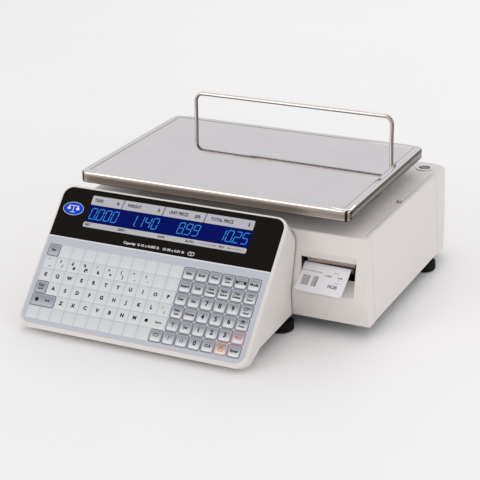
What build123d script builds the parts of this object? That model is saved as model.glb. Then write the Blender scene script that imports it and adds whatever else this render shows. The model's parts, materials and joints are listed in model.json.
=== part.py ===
from build123d import *
import os
from math import acos, atan2, cos, degrees, hypot, pi, radians, sin, tan

# Label-printing counter scale.  Millimetres, +Z up, -Y towards the operator, +X to the
# operator's right.  The origin is on the counter, under the middle of the scale's box.

# ---------------------------------------------------------------- driving dimensions
WALL = 3.0                    # moulded case wall
CASE_BOTTOM = 16.0            # underside of the case above the counter
CASE_TOP = 118.0              # deck of the body under the platter
HALF_WIDTH = 190.0            # body, at its foot
HALF_WIDTH_TOP = 183.0        # body, at its deck: the side walls lean in
BACK_Y = 212.6
FRONT_TOP_Y = -68.5           # body front at the deck
FRONT_BEND_Y = -81.5          # body front leans out down to this bend
FRONT_BEND_Z = 46.0
FRONT_FOOT_Y = -75.5          # and back in to its foot
REAR_CORNER = 27.0
FRONT_CORNER = 7.0
DECK_Z = CASE_TOP - WALL      # underside of the deck
FLOOR_TOP = CASE_BOTTOM + WALL
TRAY_FRONT_X = (-184.0, 94.0)             # the floor's tongue under the console

# operator console: u runs along +X, v up the sloping face, n out of the face
FACE_SLOPE = radians(46.85)
FACE_ORIGIN = (-181.9, -207.5, 16.0)      # lower left corner of the key grid
FACE_U = (-8.0, 282.0)
FACE_V = (-11.0, 168.8)
FACE_CORNER = 15.0
FACE_EDGE = 1.6                           # rounding of the face's rim
CONSOLE_DRAFT = 2.6                       # degrees that the console's sides draw in
SHADOW_GAP = 2.0                          # groove, as wide as deep, where it meets the body
LIP = (-205.5, 5.4)                       # (y, z) of the lower lip under the keys
LIP_RISE_Y = -170.0                       # the underside has risen to the case bottom here
OVERLAY_U = (-5.5, 278.2)
OVERLAY_V = (-5.5, 166.3)
OVERLAY_CORNER = 12.0
OVERLAY_SPLIT_V = 102.2                   # keys below, display panel above
RECESS = 1.8                              # depth of the recess that holds the keypad stack
KEY_U = 16.0                              # key pitch across
KEY_V = 15.5                              # key pitch up the face
KEY_COLUMNS = 17
KEY_ROWS = 6
WINDOW_U = (34.5, 242.2)
WINDOW_V = (126.5, 147.5)

# platter and guard rail
PLATTER_X = (-182.1, 163.2)
PLATTER_Y = (-73.3, 177.7)
PLATTER_TOP = 151.0
PLATTER_SKIRT = 14.0
PLATTER_SHEET = 1.2
PLATTER_CORNER = 9.0
PLATTER_RIM = 9.0                         # rim band outside the pressed middle
PLATTER_PRESS = 0.9                       # the middle is pressed this far down
RAIL_X = (-142.5, 127.5)
RAIL_Y = 158.4
RAIL_TOP = 189.5                          # wire centre
RAIL_WIRE = 2.5
RAIL_BEND = 10.0
CENTRE_X = sum(PLATTER_X) / 2
CENTRE_Y = sum(PLATTER_Y) / 2

# levelling feet
FEET = {"fr": (86.0, -87.0), "fl": (-172.0, -87.0), "rr": (177.5, 148.0), "rl": (-177.5, 148.0)}
FOOT_BOSS_R = 6.5
FOOT_BOSS_TOP = 31.0
INSERT_R = 5.0
STUD_R = 4.0
STUD_TOP = 34.0
PAD_R = 13.0
PAD_TOP = 1.6                             # the pad's neck goes on up into the knob
PAD_NECK_R = 5.0
KNOB_R = 15.4
KNOB_Z = (1.7, 12.0)
KNOB_FLUTES = 20
RUN = 0.06                                # radial running clearance

# label printer, seen from the door side: positions are (y, z)
POCKET_X = (104.4, 171.9)
POCKET_Z = (50.0, 87.3)
POCKET_BACK_Y = -64.0
POCKET_BEVEL = 8.2
PLATE_X = (95.0, 97.0)                    # printer side plate
LABEL_WIDTH = 58.0
LABEL_EXIT = (134.5, -64.0)               # (x, y) where the label comes out
LABEL_SKEW = 3.4
LABEL_PATH = [
    (-64.0, 78.3), (-66.3, 77.1), (-69.0, 74.2), (-72.1, 71.2), (-77.8, 66.8), (-84.5, 61.4),
    (-93.2, 55.0),
]
PLATEN = (-50.0, 72.0)
MOTOR = (-14.0, 42.0)
ROLL = (95.0, 67.0)
REWIND = (26.0, 43.0)
HEAD_PIVOT = (-8.0, 96.0)
LEVER_PIVOT = (-28.0, 100.5)
GEAR_MODULE = 0.8
PRESSURE_ANGLE = radians(25)
PLATEN_TEETH, IDLER_TEETH, PINION_TEETH = 24, 42, 15
GEAR_X = (87.5, 93.5)

# side door
DOOR_Y = (-58.0, 168.0)
DOOR_X = 177.0                            # the door wraps over the deck's edge to here
DOOR_GAP = 0.45
DOOR_AXIS = (188.3, 19.0)                 # (x, z)

THUMB_X = (168.6, 176.5)                  # recess in the deck for pulling the door open
THUMB_Y = (32.5, 67.5)
THUMB_Z = 114.8

# weighing frame under the platter
SPIDER_REACH = (112.0, 68.0)
BRIDGE_Z = (62.0, 69.0)
CELL_X = (CENTRE_X - 65, CENTRE_X + 65)
CELL_Y = (CENTRE_Y - 15, CENTRE_Y + 15)
CELL_Z = (32.0, 54.0)

# electrics; cuts in the rear wall are (x, z) pairs
STANDOFFS = [(-176, -40), (-96, -40), (-176, 70), (-96, 70)]
INLET_CUT = ((-154.0, -126.0), (34.0, 54.5))
SWITCH_CUT = ((-108.0, -88.0), (37.0, 50.5))
ROCKER_TIP = 9.0                          # degrees the rocker is tipped at rest
ROCKER_Y = BACK_Y - 1
ROCKER_PIN_R = 0.8
PORT_CUT = ((-66.0, -49.5), (36.0, 50.0))
LEVEL_AT = (161.5, 188.3)                 # bubble level on the deck
CASE_SCREWS = [(-120, 200), (120, 200), (-60, -60), (60, -60), (-150, -150), (60, -150)]
DISPLAY_BOSSES = [(28.0, 118.5), (28.0, 155.5), (248.5, 118.5), (248.5, 155.5)]

FACE = Plane(
    origin=FACE_ORIGIN, x_dir=(1, 0, 0), z_dir=(0, -sin(FACE_SLOPE), cos(FACE_SLOPE))
)


# ---------------------------------------------------------------- small tools
def block(x, y, z):
    """A box from three (low, high) pairs."""
    size = [high - low for low, high in (x, y, z)]
    middle = [(low + high) / 2 for low, high in (x, y, z)]
    return Pos(*middle) * Box(*size)


def rod_x(radius, x, at):
    """A cylinder along X between x[0] and x[1], on the axis at (y, z)."""
    return Pos(sum(x) / 2, *at) * Rot(0, 90, 0) * Cylinder(radius, x[1] - x[0])


def rod_y(radius, y, at):
    """A cylinder along Y, on the axis at (x, z)."""
    return Pos(at[0], sum(y) / 2, at[1]) * Rot(90, 0, 0) * Cylinder(radius, y[1] - y[0])


def rod_z(radius, z, at):
    """A cylinder along Z, on the axis at (x, y)."""
    return Pos(*at, sum(z) / 2) * Cylinder(radius, z[1] - z[0])


def prism_x(outline, x):
    """An outline of (y, z) points run along X."""
    face = Plane.YZ.offset(x[0]) * make_face(Polyline(*outline, close=True))
    return extrude(face, x[1] - x[0], dir=(1, 0, 0))


def prism_y(outline, y):
    """An outline of (x, z) points run along +Y."""
    wire = Polyline(*[(x, y[0], z) for x, z in outline], close=True)
    return extrude(make_face(wire), y[1] - y[0], dir=(0, 1, 0))


def plate(u, v, n, corner):
    """A rounded rectangle in the console face's own (u, v, n)."""
    sketch = RectangleRounded(u[1] - u[0], v[1] - v[0], corner)
    middle = Pos((u[0] + u[1]) / 2, (v[0] + v[1]) / 2, n[0])
    return FACE * middle * extrude(sketch, n[1] - n[0])


def face_block(u, v, n):
    """A box in the console face's own (u, v, n)."""
    middle = Pos(sum(u) / 2, sum(v) / 2, sum(n) / 2)
    return FACE * middle * Box(u[1] - u[0], v[1] - v[0], n[1] - n[0])


def face_rod(radius, u, v, n):
    """A cylinder standing on the console face."""
    return FACE * Pos(u, v, sum(n) / 2) * Cylinder(radius, n[1] - n[0])


def grown(pair, by):
    return (pair[0] - by, pair[1] + by)


def save(node, *solids):
    pieces = [solid for shape in solids for solid in shape.solids()]
    shape = pieces[0] if len(pieces) == 1 else Compound(children=pieces)
    export_step(shape, f"parts/{node}.step")


# ---------------------------------------------------------------- body of the case
def body_block(inset):
    """The body's outer form, or the same form moved in by inset on every side but the foot."""
    front = [
        (FRONT_FOOT_Y + inset, CASE_BOTTOM),
        (FRONT_BEND_Y + inset, FRONT_BEND_Z),
        (FRONT_TOP_Y + inset, CASE_TOP - inset),
        (BACK_Y - inset, CASE_TOP - inset),
        (BACK_Y - inset, CASE_BOTTOM),
    ]
    sides = [
        (-HALF_WIDTH + inset, CASE_BOTTOM),
        (-HALF_WIDTH_TOP + inset, CASE_TOP),
        (HALF_WIDTH_TOP - inset, CASE_TOP),
        (HALF_WIDTH - inset, CASE_BOTTOM),
    ]
    plan = Rectangle(2 * HALF_WIDTH - 2 * inset, BACK_Y - FRONT_BEND_Y - 2 * inset)
    plan = fillet(plan.vertices().group_by(Axis.Y)[-1], REAR_CORNER - inset)
    plan = fillet(plan.vertices().group_by(Axis.Y)[0], FRONT_CORNER - inset)
    plan = Pos(0, (BACK_Y + FRONT_BEND_Y) / 2, CASE_BOTTOM) * extrude(plan, CASE_TOP - CASE_BOTTOM)
    return prism_x(front, (-HALF_WIDTH, HALF_WIDTH)) & prism_y(sides, (-90, BACK_Y)) & plan


def outer_body():
    body = body_block(0)
    deck_edges = body.edges().filter_by_position(Axis.Z, CASE_TOP - 0.01, CASE_TOP + 0.01)
    return fillet(deck_edges, 2.5)


def pocket_cut():
    """The label pocket: a bevel over the mouth, and a ramp below it."""
    low, high = POCKET_Z
    outline = [
        (-95, low - 12),
        (FRONT_BEND_Y + 0.7, low),
        (POCKET_BACK_Y - 0.5, low + 14),
        (POCKET_BACK_Y + 4, low + 14),
        (POCKET_BACK_Y + 4, high),
        (FRONT_TOP_Y - 1.5, high),
        (FRONT_TOP_Y - 4, high + POCKET_BEVEL),
        (-95, high + POCKET_BEVEL),
    ]
    return prism_x(outline, POCKET_X)


def door_zone(gap):
    """The stretch of wall and deck edge that the side door takes."""
    return block((DOOR_X - gap, HALF_WIDTH + 5), grown(DOOR_Y, gap), (0, CASE_TOP + 5))


def main_housing(body, cavity):
    housing = body - cavity
    housing += block(grown(POCKET_X, 2.5), (-90, POCKET_BACK_Y), (46, 99)) & body
    housing += block((THUMB_X[0] - 2.5, 176), grown(THUMB_Y, 2.5), (THUMB_Z - 2, DECK_Z + 1))
    housing -= pocket_cut()
    housing -= door_zone(DOOR_GAP)
    housing -= block((THUMB_X[0], 180), THUMB_Y, (THUMB_Z, CASE_TOP + 1))
    housing -= rod_z(30, (DECK_Z - 1, CASE_TOP + 1), (CENTRE_X, CENTRE_Y))
    housing += Pos(CENTRE_X, CENTRE_Y, CASE_TOP + 0.5) * (Cylinder(34, 1) - Cylinder(30, 1))
    housing -= rod_z(9.0, (DECK_Z - 1, CASE_TOP + 1), LEVEL_AT)
    # behind the console the front wall is open for the wiring, and the tray runs through
    housing -= block((-150, 70), (-90, -60), (30, 100))
    housing -= block((-HALF_WIDTH, TRAY_FRONT_X[1] + 0.4), (-90, -66), (0, FLOOR_TOP + 0.4))
    housing -= block(INLET_CUT[0], (200, 220), INLET_CUT[1])
    housing -= block(SWITCH_CUT[0], (200, 220), SWITCH_CUT[1])
    housing -= block(PORT_CUT[0], (200, 220), PORT_CUT[1])
    for y in (DOOR_Y[0] - DOOR_GAP - 5, DOOR_Y[1] + DOOR_GAP):
        housing -= rod_y(1.0 + RUN, (y, y + 5), DOOR_AXIS)
    return housing


def side_door(body, cavity):
    door = (body - cavity) & door_zone(0)
    door -= block((0, HALF_WIDTH + 5), (-100, 200), (0, CASE_BOTTOM + 0.6))
    for y in ((DOOR_Y[0] - 4.4, DOOR_Y[0] + 3), (DOOR_Y[1] - 3, DOOR_Y[1] + 4.4)):
        door += rod_y(1.0, y, DOOR_AXIS)
    # stiffening ribs and two snap tongues that hook under the deck
    for y in (-20, 55, 130):
        rib = prism_y([(187.4, 26), (183.4, 26), (177.0, 113), (181.0, 113)], (y - 1, y + 1))
        door += rib & cavity
    return door


def base_tray():
    """Floor of the case: it runs forward under the console as well."""
    inner = body_block(WALL + 0.3) & block((-200, 200), (-100, 220), (CASE_BOTTOM, FLOOR_TOP))
    under_console = block(TRAY_FRONT_X, (LIP_RISE_Y + 6, -66), (CASE_BOTTOM, FLOOR_TOP))
    tray = inner + under_console
    tray -= block((184.8, 200), grown(DOOR_Y, 4), (0, 30))
    for at in FEET.values():
        tray += rod_z(FOOT_BOSS_R, (CASE_BOTTOM, FOOT_BOSS_TOP), at)
        tray -= rod_z(INSERT_R, (18, 32), at)
        tray -= rod_z(STUD_R + 1, (10, 20), at)
    tray -= cell_holes(CELL_X[0] + 15, (10, 30), 3.1)
    for x, y in STANDOFFS:
        tray += rod_z(3.5, (FLOOR_TOP - 0.5, 27), (x, y))
    for row in range(9):
        y = -40 + 9 * row
        tray -= block((-70, -20), (y, y + 3), (10, 30))
    for x, y in CASE_SCREWS:
        tray -= rod_z(2.1, (10, 30), (x, y))
    return tray


def foot_inserts():
    """Threaded brass inserts in the tray's foot bosses."""
    return [
        rod_z(INSERT_R, (18, FOOT_BOSS_TOP), at) - rod_z(STUD_R + RUN, (17, 32), at)
        for at in FEET.values()
    ]


def foot_pad(at):
    """Rubber pad that stays still while the knob is turned on it."""
    return rod_z(PAD_R, (0, PAD_TOP), at) + rod_z(PAD_NECK_R, (PAD_TOP, 5.4), at)


def foot_knob(at):
    """Fluted knob moulded on the levelling stud."""
    knob = rod_z(KNOB_R, KNOB_Z, at)
    knob = chamfer(knob.edges().group_by(Axis.Z)[-1], 1.2)
    for k in range(KNOB_FLUTES):
        angle = 2 * pi * k / KNOB_FLUTES
        flute = (at[0] + (KNOB_R + 1.0) * cos(angle), at[1] + (KNOB_R + 1.0) * sin(angle))
        knob -= rod_z(1.7, (1, 13), flute)
    knob -= rod_z(PAD_NECK_R + RUN, (1, 5.5), at)
    return knob + rod_z(STUD_R, (KNOB_Z[1], STUD_TOP), at)


def pan_screws():
    """Pan-head screws: up through the tray, and through the display board."""
    screws = []
    for at in CASE_SCREWS:
        screws.append(rod_z(3.6, (CASE_BOTTOM - 1.6, CASE_BOTTOM), at) + rod_z(2.0, (15, 26), at))
    for u, v in DISPLAY_BOSSES:
        screws.append(face_rod(2.6, u, v, (-15.2, -13.6)) + face_rod(1.25, u, v, (-13.6, -7)))
    return screws


# ---------------------------------------------------------------- operator console
def console_block(inset):
    """The console's outer form, or the same form moved in by inset."""
    top_v = FACE_V[1] - inset
    top = (
        FACE_ORIGIN[1] + top_v * cos(FACE_SLOPE) + inset * sin(FACE_SLOPE),
        FACE_ORIGIN[2] + top_v * sin(FACE_SLOPE) - inset * cos(FACE_SLOPE),
    )
    low_v = FACE_V[0] + inset
    low = (
        FACE_ORIGIN[1] + low_v * cos(FACE_SLOPE) + inset * sin(FACE_SLOPE),
        FACE_ORIGIN[2] + low_v * sin(FACE_SLOPE) - inset * cos(FACE_SLOPE),
    )
    side = [
        low,
        (LIP[0] + inset * 0.4, LIP[1] + inset),
        (LIP_RISE_Y, CASE_BOTTOM + inset),
        (FRONT_FOOT_Y, CASE_BOTTOM + inset),
        (FRONT_BEND_Y, FRONT_BEND_Z),
        (FRONT_TOP_Y, CASE_TOP - 1.2 * inset),
        top,
    ]
    across = (FACE_ORIGIN[0] + FACE_U[0], FACE_ORIGIN[0] + FACE_U[1])
    sketch = RectangleRounded(
        FACE_U[1] - FACE_U[0] - 2 * inset, FACE_V[1] - FACE_V[0] - 2 * inset, FACE_CORNER - inset
    )
    middle = Pos(sum(FACE_U) / 2, sum(FACE_V) / 2, -inset)
    draft = extrude(sketch, -175, taper=CONSOLE_DRAFT)
    if inset == 0:
        draft = fillet(draft.edges().group_by(Axis.Z)[-1], FACE_EDGE)
    return prism_x(side, across) & FACE * middle * draft


def console_shell():
    shell = console_block(0) - console_block(WALL)
    shell -= plate(OVERLAY_U, OVERLAY_V, (-RECESS, 1), OVERLAY_CORNER)
    shell -= face_block(grown(WINDOW_U, 4), grown(WINDOW_V, 4), (-8, 1))
    shell -= block(grown(TRAY_FRONT_X, 0.4), (LIP_RISE_Y + 5.6, -60), (0, FLOOR_TOP + 0.4))
    shell -= block((-150, 70), (-90, -60), (30, 100))
    for u, v in DISPLAY_BOSSES:
        shell += face_rod(3.5, u, v, (-12, -WALL)) - face_rod(1.3, u, v, (-13, -6))
    groove = body_block(-SHADOW_GAP) - console_block(SHADOW_GAP)
    return shell - body_block(0) - groove


def key_cells():
    """(u, v, width) of each key; a few are two columns wide."""
    wide = {(1, 0), (1, 9)}
    cells = []
    for row in range(KEY_ROWS):
        column = 0
        while column < KEY_COLUMNS:
            span = 2 if (row, column) in wide else 1
            cells.append(((column + span / 2) * KEY_U, (row + 0.5) * KEY_V, span))
            column += span
    return cells


def keypad_overlay():
    """Printed polyester sheet over the keys."""
    sheet = plate(OVERLAY_U, OVERLAY_V, (-0.8, 0.0), OVERLAY_CORNER)
    return sheet & face_block((-20, 300), (-20, OVERLAY_SPLIT_V - 0.1), (-2, 1))


def membrane_circuit():
    """Circuit and spacer laminate, with a round pocket for each snap dome."""
    sheet = plate(OVERLAY_U, OVERLAY_V, (-RECESS, -0.8), OVERLAY_CORNER)
    sheet &= face_block((-20, 300), (-20, OVERLAY_SPLIT_V - 0.1), (-2, 1))
    for u, v, _ in key_cells():
        sheet -= face_rod(6.2, u, v, (-1.4, 0))
    return sheet


def key_domes():
    """Steel snap domes, one under each key."""
    return [
        FACE * Pos(u, v, -1.4) * extrude(Circle(6.0), 0.5, taper=55) for u, v, _ in key_cells()
    ]


def display_panel():
    """Black front panel around the display window."""
    panel = plate(OVERLAY_U, OVERLAY_V, (-RECESS, 0.0), OVERLAY_CORNER)
    panel &= face_block((-20, 300), (OVERLAY_SPLIT_V, 200), (-3, 1))
    return panel - face_block(WINDOW_U, WINDOW_V, (-3, 1))


def display_window():
    """Clear window, flush in the panel, with a flange behind it."""
    lens = face_block(WINDOW_U, WINDOW_V, (-RECESS, -0.2))
    return lens + face_block(grown(WINDOW_U, 3.6), grown(WINDOW_V, 3.6), (-3.2, -RECESS))


def lcd_module():
    """Liquid crystal glass on its backlight frame."""
    glass = face_block(grown(WINDOW_U, 3.4), grown(WINDOW_V, 3.4), (-6.0, -3.3))
    frame = face_block(grown(WINDOW_U, 3.8), grown(WINDOW_V, 3.8), (-12.0, -6.0))
    return glass + frame


def display_board():
    board = face_block(grown(WINDOW_U, 12), grown(WINDOW_V, 12), (-13.6, -12.0))
    for u, v in DISPLAY_BOSSES:
        board -= face_rod(1.5, u, v, (-15, -10))
    return board


# ---------------------------------------------------------------- weighing works
def platter():
    """Pressed stainless pan, turned over at the edge into a skirt."""
    def slab(inset, z):
        sketch = RectangleRounded(
            PLATTER_X[1] - PLATTER_X[0] - 2 * inset,
            PLATTER_Y[1] - PLATTER_Y[0] - 2 * inset,
            PLATTER_CORNER - inset,
        )
        return Pos(CENTRE_X, CENTRE_Y, z[0]) * extrude(sketch, z[1] - z[0])

    skirt_z = PLATTER_TOP - PLATTER_SKIRT
    pan = slab(0, (skirt_z, PLATTER_TOP))
    pan = fillet(pan.edges().group_by(Axis.Z)[-1], 3.0)
    hollow = slab(PLATTER_SHEET, (skirt_z - 1, PLATTER_TOP - PLATTER_SHEET))
    hollow = fillet(hollow.edges().group_by(Axis.Z)[-1], 2.0)
    pan -= hollow
    middle_x = grown(PLATTER_X, -PLATTER_RIM)
    middle_y = grown(PLATTER_Y, -PLATTER_RIM)
    bed = PLATTER_TOP - PLATTER_PRESS
    pan += block(middle_x, middle_y, (bed - PLATTER_SHEET, bed))
    pan -= block(grown(middle_x, -1), grown(middle_y, -1), (bed, PLATTER_TOP + 1))
    for x in RAIL_X:
        pan -= rod_z(RAIL_WIRE, (130, 160), (x, RAIL_Y))
    return pan


def guard_rail():
    """Bent wire, an upside-down U, its legs down through the platter."""
    foot = 140.0
    left, right = RAIL_X
    path = FilletPolyline(
        (left, RAIL_Y, foot), (left, RAIL_Y, RAIL_TOP), (right, RAIL_Y, RAIL_TOP),
        (right, RAIL_Y, foot), radius=RAIL_BEND,
    )
    return sweep(Plane(path @ 0, z_dir=path % 0) * Circle(RAIL_WIRE), path)


def rail_sockets():
    """Bushes under the platter that grip the legs of the rail."""
    top = PLATTER_TOP - PLATTER_PRESS - PLATTER_SHEET
    return [
        rod_z(5, (140, top), (x, RAIL_Y)) - rod_z(RAIL_WIRE, (130, 160), (x, RAIL_Y))
        for x in RAIL_X
    ]


def spider():
    """Die-cast cross that carries the platter."""
    z = (122.0, 130.0)
    cross = rod_z(34, z, (CENTRE_X, CENTRE_Y))
    angle = degrees(atan2(SPIDER_REACH[1], SPIDER_REACH[0]))
    length = 2 * hypot(*SPIDER_REACH)
    for turn in (angle, -angle):
        cross += Pos(CENTRE_X, CENTRE_Y, sum(z) / 2) * Rot(0, 0, turn) * Box(length, 24, z[1] - z[0])
    for at in spider_corners():
        cross += rod_z(13, (z[0], 141), at)
        cross -= rod_z(4, (136, 142), at)
    for at in hub_screw_places():
        cross -= rod_z(3.1, (100, 140), at)
    return cross


def spider_corners():
    return [
        (CENTRE_X + sx * SPIDER_REACH[0], CENTRE_Y + sy * SPIDER_REACH[1])
        for sx in (-1, 1) for sy in (-1, 1)
    ]


def hub_screw_places():
    return [(CENTRE_X + 15 * cos(a), CENTRE_Y + 15 * sin(a)) for a in (0, 2 * pi / 3, 4 * pi / 3)]


def platter_buffers():
    """Rubber buffers that the platter rests on."""
    seat = PLATTER_TOP - PLATTER_PRESS - PLATTER_SHEET
    return [rod_z(11, (141, seat), at) + rod_z(4, (136, 141), at) for at in spider_corners()]


def hub_bracket():
    """Plate on the free end of the cell, back to a post in the middle for the spider."""
    bracket = block((CENTRE_X - 26, CELL_X[1]), grown(CELL_Y, 8), BRIDGE_Z)
    bracket += rod_z(22, (BRIDGE_Z[1], 122), (CENTRE_X, CENTRE_Y))
    for at in hub_screw_places():
        bracket -= rod_z(2.5, (106, 123), at)
    return bracket - cell_holes(CELL_X[1] - 15, (50, 80), 3.2)


def hub_screws():
    """Socket screws that hold the spider on its post."""
    return [
        rod_z(5, (130, 133), at) + rod_z(2.5, (107, 130), at) - rod_z(2.0, (131, 134), at)
        for at in hub_screw_places()
    ]


def cell_holes(x, z, radius):
    """The pair of screw holes at one end of the cell."""
    return rod_z(radius, z, (x - 8, CENTRE_Y)) + rod_z(radius, z, (x + 8, CENTRE_Y))


def load_cell():
    """Single-point bending beam with its figure-of-eight window."""
    beam = block(CELL_X, CELL_Y, CELL_Z)
    middle_z = sum(CELL_Z) / 2
    for x in (CENTRE_X - 13, CENTRE_X + 13):
        beam -= rod_y(8.5, grown(CELL_Y, 1), (x, middle_z))
    beam -= block((CENTRE_X - 13, CENTRE_X + 13), grown(CELL_Y, 1), grown((middle_z, middle_z), 3))
    beam -= cell_holes(CELL_X[1] - 15, (45, 60), 3.0)
    beam -= cell_holes(CELL_X[0] + 15, (25, 41), 3.0)
    return beam


def cell_spacers():
    """One spacer under the fixed end, one on the free end."""
    low = block((CELL_X[0], CELL_X[0] + 30), CELL_Y, (FLOOR_TOP, CELL_Z[0]))
    high = block((CELL_X[1] - 30, CELL_X[1]), CELL_Y, (CELL_Z[1], BRIDGE_Z[0]))
    return [
        low - cell_holes(CELL_X[0] + 15, (10, 40), 3.2),
        high - cell_holes(CELL_X[1] - 15, (50, 70), 3.2),
    ]


def cell_screws():
    screws = []
    for dx in (-8, 8):
        at = (CELL_X[1] - 15 + dx, CENTRE_Y)
        top = BRIDGE_Z[1]
        screws.append(
            rod_z(5, (top, top + 5), at) + rod_z(2.95, (47, top), at) - rod_z(2.5, (top + 2, 80), at)
        )
        at = (CELL_X[0] + 15 + dx, CENTRE_Y)
        screws.append(rod_z(5, (CASE_BOTTOM - 2.8, CASE_BOTTOM), at) + rod_z(2.95, (CASE_BOTTOM, 39), at))
    return screws


def overload_stops():
    """Stop screws under the free end of the cell."""
    return [
        rod_z(3, (FLOOR_TOP, 31.4), (CELL_X[1] - 12, y)) + rod_z(5.5, (FLOOR_TOP, 23), (CELL_X[1] - 12, y))
        for y in (CENTRE_Y - 9, CENTRE_Y + 9)
    ]


# ---------------------------------------------------------------- label printer
def gear(teeth, bore, phase):
    """Involute spur gear about the X axis, a tooth centred at phase (radians, Y to Z)."""
    pitch_r = GEAR_MODULE * teeth / 2
    base_r = pitch_r * cos(PRESSURE_ANGLE)
    tip_r = pitch_r + 0.9 * GEAR_MODULE
    root_r = pitch_r - 1.2 * GEAR_MODULE
    backlash = 0.07

    def involute(radius):
        if radius <= base_r:
            return 0.0
        angle = acos(base_r / radius)
        return tan(angle) - angle

    half_at_pitch = pi / (2 * teeth) - backlash / pitch_r
    flank = [base_r + (tip_r - base_r) * k / 3 for k in range(4)]
    half = [half_at_pitch + involute(pitch_r) - involute(r) for r in flank]
    points = []
    for k in range(teeth):
        middle = phase + 2 * pi * k / teeth
        low = [(root_r, -half[0] * 1.1)] + [(r, -h) for r, h in zip(flank, half)]
        high = [(r, -a) for r, a in reversed(low)]
        points += [(r * cos(middle + a), r * sin(middle + a)) for r, a in low + high]
    wheel = prism_x(points, GEAR_X)
    return wheel - rod_x(bore, grown(GEAR_X, 1), (0, 0))


def idler_place():
    """The idler's centre: a pitch circle in mesh with the motor's and the platen's."""
    to_platen = GEAR_MODULE * (PLATEN_TEETH + IDLER_TEETH) / 2
    to_motor = GEAR_MODULE * (PINION_TEETH + IDLER_TEETH) / 2
    dy, dz = MOTOR[0] - PLATEN[0], MOTOR[1] - PLATEN[1]
    apart = hypot(dy, dz)
    along = (to_platen**2 - to_motor**2 + apart**2) / (2 * apart)
    aside = (to_platen**2 - along**2) ** 0.5
    uy, uz = dy / apart, dz / apart
    return (PLATEN[0] + along * uy - aside * uz, PLATEN[1] + along * uz + aside * uy)


def gear_phases():
    """Tooth phases that put the three wheels in mesh at rest."""
    idler = idler_place()
    to_idler = atan2(idler[1] - PLATEN[1], idler[0] - PLATEN[0])
    idler_phase = to_idler + pi + pi / IDLER_TEETH
    to_motor = atan2(MOTOR[1] - idler[1], MOTOR[0] - idler[0])
    pitch = 2 * pi / IDLER_TEETH
    offset = (idler_phase - to_motor) % pitch
    pinion_phase = to_motor + pi + pi / PINION_TEETH - offset * IDLER_TEETH / PINION_TEETH
    return to_idler, idler_phase, pinion_phase


def printer_plate():
    """Side plate that everything in the printer hangs from."""
    plate_z = (FLOOR_TOP, 113)
    steel = block(PLATE_X, (-60, 150), plate_z) + block((75, PLATE_X[0]), (60, 150), (FLOOR_TOP, 21))
    steel -= rod_x(3.0 + RUN, grown(PLATE_X, 1), PLATEN)
    steel -= rod_x(12, grown(PLATE_X, 1), MOTOR)
    steel -= rod_x(2.0, grown(PLATE_X, 1), idler_place())
    for y in (60, 90, 120):
        steel -= rod_x(9, grown(PLATE_X, 1), (y, 98))
    return steel


def outer_bracket():
    """Small bracket that holds the platen's far end."""
    x = (164.5, 166.5)
    ear = block(x, (-62, -38), (FLOOR_TOP, PLATEN[1] + 6))
    ear += block((150, x[1]), (-58, -38), (FLOOR_TOP, 21))
    return ear - rod_x(3.0 + RUN, grown(x, 1), PLATEN)


def pocket_cheek():
    """Black cheek beside the label, against the pocket's inner wall."""
    return block((POCKET_X[0], 105.0), (-70, POCKET_BACK_Y), (66, POCKET_Z[1]))


def platen_shaft():
    return rod_x(3.0, (86, 168), PLATEN)


def platen_roller():
    return rod_x(7.0, (101, 163), PLATEN) - rod_x(3.0, (90, 170), PLATEN)


def at_yz(shape, place):
    return Pos(0, *place) * shape


def stepper_motor():
    """Stepper on the printer side plate, its boss through the plate."""
    case = block((PLATE_X[1], 129), (MOTOR[0] - 21, MOTOR[0] + 21), (MOTOR[1] - 21, MOTOR[1] + 21))
    case = chamfer(case.edges().filter_by(Axis.X), 3)
    case += rod_x(11, (95.5, PLATE_X[1]), MOTOR)
    return case - rod_x(2.5 + RUN, (90, 128), MOTOR)


def motor_pinion(phase):
    return at_yz(gear(PINION_TEETH, 2.0, phase), MOTOR) + rod_x(2.5, (86, 127), MOTOR)


def label_spindle():
    return rod_x(12.5, (PLATE_X[1], 166), ROLL) - rod_x(10, (PLATE_X[1] + 2, 170), ROLL)


def label_roll():
    return rod_x(42, (102, 162), ROLL) - rod_x(14.0, (100, 165), ROLL)


def roll_core():
    return rod_x(14.0, (101.8, 162.2), ROLL) - rod_x(12.5 + RUN, (100, 165), ROLL)


def roll_guide():
    """Flange clipped on the spindle's end that keeps the roll in line."""
    return rod_x(30, (163, 165), ROLL) - rod_x(12.5, (160, 170), ROLL)


def rewind_spool():
    """Take-up spool for the bare backing paper, on its own axle."""
    spool = rod_x(8, (99, 160), REWIND) + rod_x(19, (98, 100), REWIND)
    spool -= rod_x(4.0 + RUN, (95, 155), REWIND)
    return spool


def head_bracket():
    """Steel bracket that presses the print head on the platen."""
    x = (108, 160)
    arm = block(x, (-60, -6), (92, 94.5)) + rod_x(6, x, HEAD_PIVOT)
    arm += block((108.5, 165.5), (-61.5, -59), (PLATEN[1] + 6.5, 94.5))
    return arm - rod_x(3.0 + RUN, grown(x, 1), HEAD_PIVOT)


def print_head():
    """Ceramic thermal head on its heat sink."""
    ceramic = block((105, 163), (-57, -36), (PLATEN[1] + 7.1, 81.5))
    sink = block((106, 162), (-56, -30), (81.5, 92))
    return [ceramic, sink]


def head_lever():
    """Release lever: its cam lets the head lift."""
    x = (167, 170)
    arm = block(x, (LEVER_PIVOT[0] - 3, LEVER_PIVOT[0] + 22), grown((LEVER_PIVOT[1],) * 2, 3))
    arm += rod_x(5, x, LEVER_PIVOT)
    arm += block((167, 175), (LEVER_PIVOT[0] + 18, LEVER_PIVOT[0] + 23), grown((LEVER_PIVOT[1],) * 2, 5))
    return arm - rod_x(2.0 + RUN, grown(x, 1), LEVER_PIVOT)


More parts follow.
